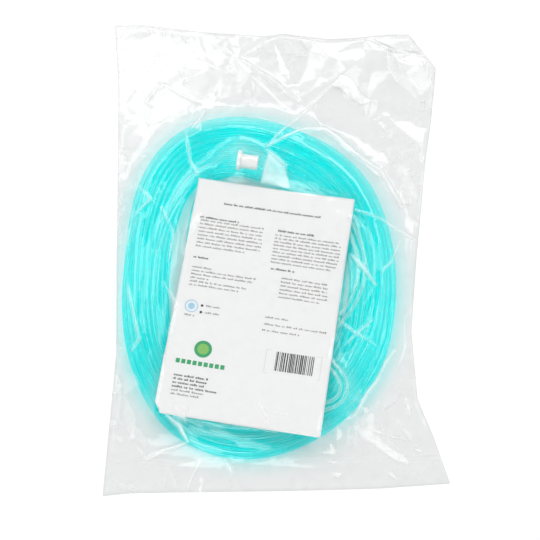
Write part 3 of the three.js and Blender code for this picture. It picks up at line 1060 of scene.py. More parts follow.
@dataclass
class Connector:
    """The flanged connector on the supply tube's free end.

    Attributes:
        finish: Its material.
        at: Its middle, in mm.
        turn: Its turn seen from above, in degrees.
        sides: Sides of its round sections.
        sharp: Edges that turn more than this stay crisp, in degrees.
        length: Its length, in mm, as are all its other sizes.
        flange_d: Diameter of its flange.
        flange_t: Thickness of its flange.
        body_d: Diameter of its body.
        bore_d: Diameter of its bore.
        bore_depth: Depth of its bore.
    """

    finish: Material
    at: tuple = (-24.0, 72.0, 17.92)
    turn: float = -9.0
    length: float = 18.7
    flange_d: float = 18.0
    flange_t: float = 3.75
    body_d: float = 12.9
    bore_d: float = 8.0
    bore_depth: float = 12.0
    sides: int = 64
    sharp: float = 40.0

    def profile(self) -> list:
        """Returns the outline from the tube's side round to the bottom of the bore, as radius and place."""
        half, flange, body, bore = self.length / 2, self.flange_d / 2, self.body_d / 2, self.bore_d / 2
        step, end, soft = -half + self.flange_t, half - self.bore_depth, 0.5
        return [(0, -half), (3.6, -half), (3.6, -half + 0.3), (flange - soft, -half + 0.3),
                (flange - 0.15, -half + 0.45), (flange, -half + 0.8),
                (flange, step - 0.6), (flange - 0.15, step - 0.2), (flange - soft, step),
                (body + 0.9, step), (body + 0.25, step + 0.25), (body, step + 0.9),
                (body - 0.25, half - 2.4), (body - 0.25, half - 2.2), (body, half - 1.9),
                (body, half - soft), (body - 0.15, half - 0.15), (body - soft, half),
                (bore + 0.5, half), (bore + 0.1, half - 0.15), (bore, half - 0.5),
                (bore - 0.25, end), (1.4, end - 0.6), (0, end - 0.6)]

    def build(self) -> Object:
        """Turns the outline round its axis.

        Returns:
            The connector.
        """
        angle = np.linspace(0, 2 * math.pi, self.sides, endpoint=False)
        verts, rings = [], []
        for radius, place in self.profile():
            start, on_axis = len(verts), radius == 0
            around = angle[:1] if on_axis else angle
            verts += [(place, radius * math.cos(a), radius * math.sin(a)) for a in around]
            rings.append([start] * self.sides if on_axis else list(range(start, len(verts))))
        faces = []
        for low, high in zip(rings, rings[1:]):
            for i in range(self.sides):
                k = (i + 1) % self.sides
                faces.append(list(dict.fromkeys([low[i], high[i], high[k], low[k]])))
        x, y, z = np.array(verts).T
        turn = math.radians(self.turn)
        ob = add_mesh("connector_moulding", np.column_stack([
            x * math.cos(turn) - y * math.sin(turn) + self.at[0],
            x * math.sin(turn) + y * math.cos(turn) + self.at[1], z + self.at[2]]), faces)
        ob.data.set_sharp_from_angle(angle=math.radians(self.sharp))
        ob.data.materials.append(self.finish)
        hand_over(ob, Slot.WHITE, "tube_connector")
        return ob


# Leaflet


@dataclass
class HeightMap:
    """Heights of what lies in the pouch, on a regular grid over it.

    Attributes:
        pitch: Grid spacing, in mm.
        low: Least X and Y that it covers.
        high: And largest.
    """

    pitch: float = 1.25
    low: tuple = (-158.0, -228.0)
    high: tuple = (158.0, 228.0)

    def __post_init__(self) -> None:
        """Lays out the grid at floor level."""
        self.x = np.arange(self.low[0], self.high[0] + self.pitch, self.pitch)
        self.y = np.arange(self.low[1], self.high[1] + self.pitch, self.pitch)
        self.z = np.full((len(self.y), len(self.x)), FLOOR)

    def add_tube(self, line: np.ndarray, diameter: float) -> None:
        """Raises the map to the top of a tube.

        Args:
            line: Its middle line, in mm.
            diameter: Its diameter, in mm.
        """
        r = diameter / 2
        fine = evenly(line, max(int(length_of(line) / (self.pitch * 0.6)), 2))
        reach = int(math.ceil(r / self.pitch))
        i0 = np.rint((fine[:, 0] - self.x[0]) / self.pitch).astype(int)
        j0 = np.rint((fine[:, 1] - self.y[0]) / self.pitch).astype(int)
        for di in range(-reach, reach + 1):
            for dj in range(-reach, reach + 1):
                i = np.clip(i0 + di, 0, len(self.x) - 1)
                j = np.clip(j0 + dj, 0, len(self.y) - 1)
                off = (self.x[i] - fine[:, 0]) ** 2 + (self.y[j] - fine[:, 1]) ** 2
                rise = np.sqrt(np.clip(r * r - off, 0, None))
                np.maximum.at(self.z, (j, i), np.where(off < r * r, fine[:, 2] + rise, -1.0))

    def add_points(self, x: np.ndarray, y: np.ndarray, z: np.ndarray) -> None:
        """Raises the map to a cloud of points, in mm, closer together than its pitch."""
        i = np.clip(np.rint((x - self.x[0]) / self.pitch).astype(int), 0, len(self.x) - 1)
        j = np.clip(np.rint((y - self.y[0]) / self.pitch).astype(int), 0, len(self.y) - 1)
        np.maximum.at(self.z, (j, i), z)

    def add_solid(self, ob: Object) -> None:
        """Raises the map to the surface of a solid.

        Args:
            ob: The solid's object, in metres.
        """
        mesh = ob.data
        mesh.calc_loop_triangles()
        at = np.array([v.co for v in mesh.vertices]) / MM
        for tri in mesh.loop_triangles:
            a, b, c = at[list(tri.vertices)]
            steps = int(max(np.linalg.norm(b - a), np.linalg.norm(c - a)) / self.pitch * 1.6) + 2
            u, v = np.meshgrid(np.linspace(0, 1, steps), np.linspace(0, 1, steps))
            on = u + v <= 1.001
            p = a + u[on][:, None] * (b - a) + v[on][:, None] * (c - a)
            self.add_points(p[:, 0], p[:, 1], p[:, 2])

    def sample(self, grid: np.ndarray, x: np.ndarray, y: np.ndarray) -> np.ndarray:
        """Reads a grid of this map's size at places in mm."""
        return read_between(grid, (x - self.x[0]) / self.pitch, (y - self.y[0]) / self.pitch)


@dataclass
class Leaflet:
    """The printed leaflet that lies over the coil.

    Attributes:
        paper: Material of the sheet.
        contents: Heights of what it lies on.
        width: Its width, in mm.
        length: And its length.
        at: Where its middle lies.
        turn: Its turn seen from above, in degrees.
        thick: Its thickness, in mm.
        pitch: Spacing of its points, in mm.
        rounds: Rounds of settling.
        sag: How far it sinks in each, in mm.
        clear: How far it stays off what it lies on, in mm.
        stiffness: How often it is smoothed, over how many points, and how many times each.
        ripples: Height, length across, length along and phase of its slow waves, in mm.
        dog_ear: How far its turned-in corner reaches across and along it, in mm.
        turned_in: How far that corner is drawn in, as a share.
        fine: Spacing at which it is added to the heights of the contents, in mm.
    """

    paper: Material
    contents: HeightMap
    width: float = 140.0
    length: float = 216.0
    at: tuple = (-15.0, -59.0)
    turn: float = -8.95
    thick: float = 0.25
    pitch: float = 2.0
    rounds: int = 4000
    sag: float = 0.0006
    clear: float = 0.15
    stiffness: tuple = (6, 4, 2)
    ripples: tuple = ((0.3, 17, 61, 0.6), (0.25, -37, 21, 0.0))
    dog_ear: tuple = (6.0, 8.5)
    turned_in: float = 0.55
    fine: float = 0.7

    def place(self, p: np.ndarray, q: np.ndarray) -> tuple:
        """Carries places on the flat sheet to the part's frame.

        Args:
            p: Places across the sheet from its middle, in mm.
            q: Places along it.

        Returns:
            X and Y, in mm.
        """
        a = math.radians(self.turn)
        return (self.at[0] + p * math.cos(a) - q * math.sin(a),
                self.at[1] + p * math.sin(a) + q * math.cos(a))

    def flat(self, x: np.ndarray, y: np.ndarray) -> tuple:
        """Carries places in the part's frame back to the flat sheet, the other way from place."""
        a = math.radians(self.turn)
        dx, dy = x - self.at[0], y - self.at[1]
        return dx * math.cos(a) + dy * math.sin(a), dy * math.cos(a) - dx * math.sin(a)

    def settle(self) -> None:
        """Works out how the sheet lies: on the tubes, curved stiffly from one to the next."""
        self.across, self.along = (
            np.linspace(-size / 2, size / 2, int(size / self.pitch) + 1) for size in (self.width, self.length)
        )
        p, q = np.meshgrid(self.across, self.along)
        x, y = self.place(p, q)
        under = self.contents.sample(self.contents.z, x, y) + self.clear
        z = settled(under, self.rounds, self.sag, False)
        for _ in range(self.stiffness[0]):
            z = np.maximum(blurred(z, *self.stiffness[1:]), under)
        z = blurred(z, 1, 1) + 0.2
        z += sum(rise * np.sin(p / wide + q / high + phase) for rise, wide, high, phase in self.ripples)
        self.z = np.maximum(z, under)

    def height(self, p: np.ndarray, q: np.ndarray) -> np.ndarray:
        """Returns the height of the sheet's underside at places on it."""
        return read_between(self.z, (p + self.width / 2) / (self.across[1] - self.across[0]),
                            (q + self.length / 2) / (self.along[1] - self.along[0]))

    def shape(self) -> Object:
        """Builds the sheet itself.

        Returns:
            The sheet.
        """
        p, q = np.meshgrid(self.across, self.along)
        ear_x, ear_y = self.dog_ear
        fold = (p + self.width / 2) / ear_x + (q + self.length / 2) / ear_y
        inside = np.clip(1 - fold, 0, None) * self.turned_in
        p, q = p + inside * ear_x, q + inside * ear_y
        ob = add_mesh("leaflet_sheet", stacked(*self.place(p, q), self.height(p, q)), grid_faces(*p.shape))
        skin = ob.modifiers.new("thickness", "SOLIDIFY")
        skin.thickness = self.thick * MM
        skin.offset = 1.0
        applied(ob)
        ob.data.materials.append(self.paper)
        return ob

    def build(self, print_of: "Print") -> Object:
        """Builds the sheet and its print.

        Args:
            print_of: The print.

        Returns:
            The sheet.
        """
        self.settle()
        ob = self.shape()
        marks = print_of.build(self, ob)
        hand_over(ob, Slot.PAPER, "instruction_leaflet")
        p, q = np.meshgrid(*(np.arange(-size / 2, size / 2, self.fine) for size in (self.width, self.length)))
        self.contents.add_points(*self.place(p, q), self.height(p, q) + self.thick)
        return ob


@dataclass
class Print:
    """The leaflet's print: rows of unreadable marks, plain bars and plain round patches.

    Places are measured across and along the sheet from its middle, in mm.

    Attributes:
        inks: The material of each ink.
        thick: Thickness of the print, in mm.
        lift: How far it stands off the sheet, in mm.
        seed: Seed of the marks' sizes.
        bold: How many of the first paragraphs are printed bold.
        widths: Widths of a mark in a word, in mm, and how often each comes.
        heights: And its heights, of which the middle one of a row is x_height.
        gaps: Gap after a mark and after a word, in mm.
        weights: Share of a mark's width that is inked, and of its height in bold and in plain print.
        paragraphs: Left end, middle of the first row, length of a row, rows, row spacing and length
            of the last row.
        bars: Left end, right end, middle and height of the bars.
        frame: Low and high corner of the frame round them.
        ring: Middle and radius of the ring.
        dots: Middles of the dots.
        disc: Middle and radius of the disc.
        strip: Left end, middle, number, spacing and height of the strip's fields.
        field: Where a field's middle lies in its spacing, and how much of it the field fills.
        bar_widths: Widths of the bars, in mm.
        bar_gaps: And of the gaps between them.
        beads: Number and size of the blocks that make the ring.
        cores: Size of the disc's and of the ring's core, in radii.
        dot: Size of a dot, in mm.
    """

    inks: dict
    thick: float = 0.03
    lift: float = 0.02
    seed: int = 3
    bold: int = 6
    widths: tuple = ((0.6, 1.05, 1.25, 1.5), (0.2, 0.35, 0.3, 0.15))
    heights: tuple = ((1.5, 2.1), (0.68, 0.32))
    x_height: float = 1.6
    gaps: tuple = (0.32, 1.3)
    weights: tuple = (0.86, 0.9, 0.72)
    paragraphs: tuple = (
        (-43.6, 87.0, 87.3, 1, 3.4, 87.3), (-62.3, 71.6, 35.6, 1, 3.4, 35.6),
        (-61.8, 33.9, 14.2, 1, 3.4, 14.2), (7.5, 69.0, 33.3, 1, 3.4, 33.3),
        (6.7, 33.4, 21.1, 1, 3.4, 21.1), (-58.7, -73.7, 29.5, 4, 3.3, 40.0),
        (-61.5, 68.8, 56.9, 8, 3.47, 43.8), (-61.0, 24.8, 17.5, 1, 3.4, 17.5),
        (-61.0, 21.5, 56.5, 2, 3.3, 55.0), (-61.0, 14.9, 17.0, 1, 3.4, 17.0),
        (-61.0, 11.6, 50.0, 2, 3.3, 44.0), (-58.7, -86.9, 27.0, 2, 3.3, 24.0),
        (5.5, 65.0, 59.0, 9, 3.19, 52.5), (17.0, 26.0, 42.0, 6, 3.45, 36.0),
        (8.5, -10.9, 21.5, 1, 3.4, 21.5), (8.7, -17.2, 55.0, 1, 3.4, 55.0),
        (7.8, -22.8, 32.7, 1, 3.4, 32.7), (-43.0, -9.2, 12.0, 1, 3.4, 12.0),
        (-43.0, -15.3, 13.0, 1, 3.4, 13.0), (-60.0, -19.5, 10.0, 1, 3.4, 10.0),
    )
    bars: tuple = (23.4, 56.5, -48.5, 17.0)
    frame: tuple = (14.8, -59.9, 62.1, -39.3)
    ring: tuple = (-55.3, -11.0, 5.3)
    dots: tuple = ((-46.4, -9.2), (-46.4, -15.3))
    disc: tuple = (-38.6, -47.7, 7.5)
    strip: tuple = (-59.8, -61.0, 9, 4.75, 3.9)
    field: tuple = (0.42, 0.72)
    bar_widths: tuple = (0.4, 0.75, 1.1)
    bar_gaps: tuple = (0.4, 0.75, 1.0)
    beads: tuple = (34, 0.95)
    cores: tuple = (1.3, 1.1)
    dot: float = 2.3

    def words(self, rng: np.random.Generator, rows: dict) -> None:
        """Lays out the paragraphs.

        Args:
            rng: The source of random numbers.
            rows: The marks of each ink and number of sides, to which the words are added.
        """
        wide_share, *tall_shares = self.weights
        for number, (left, top, span, count, spacing, last) in enumerate(self.paragraphs):
            heavy = number < self.bold
            ink, tall_share = rows[Ink.BLACK if heavy else Ink.GREY, BLOCK], tall_shares[not heavy]
            for k in range(count):
                p, q = left, top - k * spacing
                end = left + (last if k == count - 1 else span)
                while p < end - 1.0:
                    for _ in range(int(rng.integers(2, 8))):
                        wide = rng.choice(self.widths[0], p=self.widths[1])
                        tall = rng.choice(self.heights[0], p=self.heights[1])
                        if p + wide > end:
                            break
                        ink.append((p + wide / 2, q + (tall - self.x_height) / 2,
                                    wide * wide_share, tall * tall_share))
                        p += wide + self.gaps[0]
                    p += self.gaps[1]

    def marks(self) -> dict:
        """Lays out every mark.

        Returns:
            For each ink and number of sides, rows of place across, place along, width and height.
        """
        rng = np.random.default_rng(self.seed)
        rows = {(ink, sides): [] for ink in Ink for sides in (BLOCK, ROUND)}
        self.words(rng, rows)
        p, high, middle, tall = self.bars
        while p < high:
            wide = float(rng.choice(self.bar_widths))
            rows[Ink.BLACK, BLOCK].append((p + wide / 2, middle, wide, tall))
            p += wide + float(rng.choice(self.bar_gaps))
        x0, y0, x1, y1 = self.frame
        rows[Ink.PALE, BLOCK] += [((x0 + x1) / 2, y, x1 - x0, FINE_RULE) for y in (y0, y1)]
        rows[Ink.PALE, BLOCK] += [(x, (y0 + y1) / 2, FINE_RULE, y1 - y0) for x in (x0, x1)]
        x, y, count, step, tall = self.strip
        middle, share = self.field
        rows[Ink.GREEN, BLOCK] += [(x + step * (k + middle), y, share * step, tall) for k in range(count)]
        x, y, radius = self.disc
        rows[Ink.GREEN, ROUND].append((x, y, 2 * radius, 2 * radius))
        rows[Ink.LIME, ROUND].append((x, y, self.cores[0] * radius, self.cores[0] * radius))
        x, y, radius = self.ring
        count, size = self.beads
        for a in np.linspace(0, 2 * math.pi, count, endpoint=False):
            rows[Ink.BLUE, BLOCK].append((x + radius * math.cos(a), y + radius * math.sin(a), size, size))
        rows[Ink.BLUE, ROUND].append((x, y, self.cores[1] * radius, self.cores[1] * radius))
        rows[Ink.BLACK, ROUND] += [(x, y, self.dot, self.dot) for x, y in self.dots]
        return {key: marks for key, marks in rows.items() if marks}

    def build(self, leaflet: Leaflet, sheet: Object) -> list:
        """Prints every ink.

        Args:
            leaflet: The leaflet, which knows how its sheet lies.
            sheet: The sheet's object.

        Returns:
            One piece for each ink.
        """
        made = []
        for (ink, sides), rows in self.marks().items():
            p, q, wide, tall = np.array(rows).T
            x, y = leaflet.place(p, q)
            shape = "rounds" if sides == ROUND else "bars"
            ob = add_mesh(f"leaflet_print_{ink.name.lower()}_{shape}", np.column_stack([x, y, 0 * x]))
            size = ob.data.attributes.new("size", "FLOAT_VECTOR", "POINT")
            size.data.foreach_set("vector", (stacked(wide, tall, 0 * wide + self.thick) * MM).ravel())
            lift = self.thick / 2 + self.lift + (self.thick if ink is Ink.LIME else 0)
            shaped(ob, print_tree(), {
                "Sheet": sheet, "Lift": lift * MM, "Turn": math.radians(leaflet.turn), "Sides": sides,
                "Radius": 0.5 / math.cos(math.pi / sides), "Material": self.inks[ink],
            })
            hand_over(ob, Slot.PAPER)
            made.append(ob)
        return made


# Pouch


@dataclass(frozen=True)
class Crumple:
    """Flat facets of one size that film buckles into.

    Attributes:
        spacing: Usual distance between two corners of the facets, in mm.
        height: How far a corner rises or sinks, in mm.
        stretch: How much longer the facets are along their lie.
        turn: Direction of that lie, in degrees.
        seed: Seed of the corners' places and heights.
        reach: How far from the middle they go, in mm.
        stray: How far a corner strays from its place in a regular grid, as a share of the spacing.
    """

    spacing: float
    height: float
    stretch: float
    turn: float
    seed: int
    reach: float = 290.0
    stray: float = 0.45

    def relief(self, x: np.ndarray, y: np.ndarray) -> tuple:
        """Works out how far the facets lift the film.

        Args:
            x: Places along X, in mm.
            y: And along Y.

        Returns:
            The lift at each place, in mm, and a number from 0 to 1 that is the same all over a facet.
        """
        rng = np.random.default_rng(self.seed)
        wide, high = self.spacing, self.spacing * self.stretch
        p, q = np.meshgrid(*(np.arange(-self.reach, self.reach, step) for step in (wide, high)))
        p = (p + rng.uniform(-self.stray, self.stray, p.shape) * wide).ravel()
        q = (q + rng.uniform(-self.stray, self.stray, q.shape) * high).ravel()
        a = math.radians(self.turn)
        turned_p, turned_q = p * math.cos(a) - q * math.sin(a), p * math.sin(a) + q * math.cos(a)
        corners = [Vector(corner) for corner in zip(turned_p, turned_q)]
        lift = np.clip(rng.normal(0, self.height, len(corners)), -2 * self.height, 2 * self.height)
        flat, _, faces, source, _, _ = delaunay_2d_cdt(corners, [], [], 0, 1e-4)
        tree = BVHTree.FromPolygons([(v.x, v.y, lift[source[i][0]]) for i, v in enumerate(flat)], faces)
        share = rng.uniform(0, 1, len(faces))
        down = Vector((0, 0, -1))
        hits = [tree.ray_cast(Vector((c, d, 50)), down) for c, d in zip(x.ravel(), y.ravel())]
        rise = np.array([h[0].z if h[0] else 0.0 for h in hits])
        own = np.array([share[h[2]] if h[0] else 0.0 for h in hits])
        return rise.reshape(x.shape), own.reshape(x.shape)


def from_line(x: np.ndarray, y: np.ndarray, a: tuple, b: tuple) -> tuple:
    """Measures how far places are from a straight stretch.

    Args:
        x: Places along X, in mm.
        y: And along Y.
        a: Its start.
        b: Its end.

    Returns:
        The distance of each place, and the share of the stretch that its nearest point has passed.
    """
    dx, dy = b[0] - a[0], b[1] - a[1]
    t = np.clip(((x - a[0]) * dx + (y - a[1]) * dy) / (dx * dx + dy * dy), 0, 1)
    return np.hypot(x - a[0] - t * dx, y - a[1] - t * dy), t


@dataclass(frozen=True)
class Crease:
    """A sharp fold that runs through the front film.

    Attributes:
        route: Its corners, in mm.
        veil: How white its crest is, 0 to 1, partly real whitening and partly painted glare.
        width: Half its width, in mm.
        height: How far its crest stands up, in mm.
    """

    route: tuple
    veil: float = 0.5
    width: float = 2.3
    height: float = 1.0

    def cover(self, x: np.ndarray, y: np.ndarray) -> np.ndarray:
        """Returns how near places are to the crest: 0 at its foot, 1 on it, narrower to its ends."""
        best = np.zeros_like(x)
        spans = len(self.route) - 1
        for i, (a, b) in enumerate(zip(self.route, self.route[1:])):
            off, t = from_line(x, y, a, b)
            thin = self.width * (0.5 + 0.5 * np.sin(math.pi * (i + t) / spans))
            best = np.maximum(best, np.clip(1 - off / thin, 0, 1))
        return best


@dataclass(frozen=True)
class GlarePatch:
    """A flat patch between creases where the front film is painted white: a painted reflection of the lights.

    Attributes:
        corners: Its corners, in mm.
        veil: How white the painted reflection is, 0 to 1.
        soft: How far its edge fades inwards, in mm.
    """

    corners: tuple
    veil: float = 0.4
    soft: float = 2.5

    def cover(self, x: np.ndarray, y: np.ndarray) -> np.ndarray:
        """Returns how much of the patch places have: 0 outside, 1 well inside."""
        inside = np.zeros(x.shape, bool)
        edge = np.full(x.shape, 1e9)
        for a, b in zip(self.corners, (*self.corners[1:], self.corners[0])):
            edge = np.minimum(edge, from_line(x, y, a, b)[0])
            if a[1] != b[1]:
                cut = a[0] + (y - a[1]) * (b[0] - a[0]) / (b[1] - a[1])
                inside ^= ((a[1] > y) != (b[1] > y)) & (x < cut)
        return np.where(inside, eased(0, self.soft, edge), 0.0)


# Creases in the front film: real ridges whose crests are painted white, partly real whitening and partly
# painted glare
CREASES = (
    Crease(((-114, 200), (-105, 190)), 0.5), Crease(((-106, 160), (-118, 140), (-113, 135)), 0.6),
    Crease(((-114, 145), (-106, 160)), 0.5), Crease(((-106, 160), (-82, 144), (-67, 138)), 0.5, 2.0),
    Crease(((-90, 176), (-83, 162)), 0.5), Crease(((-31, 183), (-2, 162), (24, 138)), 0.35, 3.5, 1.5),
    Crease(((-64, 131), (-68, 120), (-75, 108)), 0.8, 2.4), Crease(((-68, 119), (-67, 104)), 0.5),
    Crease(((-7, 87), (14, 113), (33, 135), (51, 154)), 0.6, 2.0, 1.2),
    Crease(((-7, 85), (11, 71)), 0.5, 2.0),
    Crease(((-7, 88), (14, 100), (29, 109), (46, 112), (58, 103), (71, 88), (83, 78), (95, 71), (103, 57),
        (114, 34)), 0.7, 3.4, 2.0), Crease(((97, 118), (101, 111)), 0.6),
    Crease(((-75, -179), (-84, -182), (-95, -184), (-106, -190)), 0.55),
    Crease(((-90, -157), (-79, -166), (-72, -178)), 0.7, 2.6),
    Crease(((-108, -190), (-112, -183), (-119, -173)), 0.3),
    Crease(((-133, -165), (-131, -146), (-130, -136)), 0.3), Crease(((-60, -207), (-62, -218)), 0.4),
    Crease(((-39, -193), (-34, -201), (-36, -207)), 0.3), Crease(((-14, -146), (-3, -165)), 0.5, 1.8, 0.5),
    Crease(((0, -156), (11, -157)), 0.35, 1.8, 0.4),
    Crease(((103, -98), (93, -112), (86, -126), (77, -137), (71, -149), (67, -156), (60, -159)),
        0.65, 2.8, 1.6), Crease(((84, -168), (109, -174)), 0.5),
    Crease(((102, -157), (107, -164), (114, -174)), 0.5),
    Crease(((93, -149), (99, -143), (107, -135)), 0.45), Crease(((110, -139), (113, -155)), 0.45),
    Crease(((-80, 105), (-76, 75), (-68, 60)), 0.35, 2.0),
    Crease(((71, 26), (96, 18), (110, 11), (128, 2)), 0.4, 2.2),
    Crease(((92, -32), (102, -20), (110, 0)), 0.4, 2.2),
    Crease(((67, -16), (78, -30), (87, -43)), 0.5, 3.0, 1.4),
    Crease(((-121, 51), (-110, 37), (-123, 22)), 0.35),
    Crease(((-127, -42), (-115, -91), (-121, -100)), 0.35, 2.6),
    Crease(((-100, 30), (-88, 5), (-92, -20)), 0.4, 2.0),
    Crease(((-96, -40), (-84, -62), (-90, -88)), 0.4, 2.0),
    Crease(((54, -74), (70, -86), (86, -96)), 0.4, 2.0),
    Crease(((60, -96), (72, -84), (84, -74)), 0.35, 1.8),
    Crease(((86, 206), (109, 192), (145, 185)), 0.5, 1.8, 0.8),
    Crease(((-46, 194), (-23, 168), (10, 132)), 0.2, 2.0),
)
# Painted reflections of the lights: white patches on the front film
GLARE_PATCHES = (
    GlarePatch(((-148, 218), (-124, 218), (-131, 206), (-138, 199), (-149, 199)), 0.3, 6.0),
    GlarePatch(((-121, 218), (-113, 218), (-112, 199), (-114, 200)), 0.7),
    GlarePatch(((-106, 215), (-102, 212), (-101, 196), (-105, 198)), 0.7, 1.5),
    GlarePatch(((-99, 215), (-93, 215), (-81, 202), (-88, 196), (-96, 204)), 0.6),
    GlarePatch(((-149, 197), (-135, 198), (-137, 192), (-148, 194)), 0.4),
    GlarePatch(((-119, 195), (-112, 195), (-111, 180), (-116, 171), (-118, 171)), 0.45),
    GlarePatch(((-58, 192), (-51, 192), (-35, 180), (-32, 162), (-41, 168), (-53, 181)), 0.3),
    GlarePatch(((12, 184), (23, 187), (10, 171), (4, 169)), 0.55),
    GlarePatch(((-30, 156), (-22, 152), (-19, 148), (-19, 136), (-29, 138)), 0.5),
    GlarePatch(((-58, 151), (-54, 152), (-53, 133), (-58, 136)), 0.4, 1.5),
    GlarePatch(((-140, 127), (-126, 126), (-122, 116), (-138, 116)), 0.35),
    GlarePatch(((-119, 115), (-109, 126), (-100, 134), (-82, 133), (-67, 136), (-91, 129), (-101, 120),
        (-117, 113)), 0.6), GlarePatch(((-68, 119), (-66, 105), (-75, 106)), 0.55),
    GlarePatch(((20, 209), (35, 205), (49, 191), (43, 188), (30, 193)), 0.6),
    GlarePatch(((89, 206), (125, 211), (140, 192), (116, 190), (102, 200)), 0.6, 1.5),
    GlarePatch(((51, 155), (62, 167), (70, 164), (82, 147), (91, 140), (80, 136), (67, 145), (61, 153)),
        0.85, 1.5), GlarePatch(((71, 96), (85, 81), (96, 73), (99, 63), (89, 65), (78, 78)), 0.6),
    GlarePatch(((127, 123), (136, 124), (134, 106), (120, 104), (119, 113)), 0.5),
    GlarePatch(((113, 96), (131, 96), (127, 70), (113, 60), (110, 78)), 0.4, 5.0),
    GlarePatch(((129, 149), (148, 167), (145, 141), (134, 137)), 0.4, 3.0),
    GlarePatch(((113, 59), (127, 53), (124, 37), (109, 37)), 0.45),
    GlarePatch(((-135, -170), (-126, -170), (-125, -179), (-133, -176)), 0.35),
    GlarePatch(((-130, -161), (-112, -163), (-103, -178), (-108, -187)), 0.25, 4.0),
    GlarePatch(((-136, -208), (-126, -208), (-110, -216), (-117, -219), (-133, -215)), 0.4),
    GlarePatch(((-107, -207), (-93, -208), (-88, -215)), 0.4),
    GlarePatch(((-63, -190), (-59, -190), (-68, -208), (-71, -218), (-75, -218), (-71, -207)), 0.6, 1.5),
    GlarePatch(((73, -148), (78, -147), (80, -151), (76, -153)), 0.7, 1.0),
    GlarePatch(((52, -164), (57, -170), (56, -174), (51, -177)), 0.7, 1.0),
    GlarePatch(((45, -178), (49, -179), (52, -188), (39, -188), (39, -185), (45, -184)), 0.6, 1.5),
    GlarePatch(((47, -203), (52, -201), (57, -203), (52, -208)), 0.75, 1.0),
    GlarePatch(((93, -200), (97, -201), (102, -207), (100, -208), (95, -205)), 0.75, 1.0),
    GlarePatch(((115, -180), (119, -181), (124, -184), (118, -186)), 0.7, 1.0),
    GlarePatch(((-88, -140), (-70, -150), (-72, -166), (-84, -160)), 0.45, 4.0),
    GlarePatch(((-6, 85), (-14, 52), (15, 47), (11, 71)), 0.55),
)


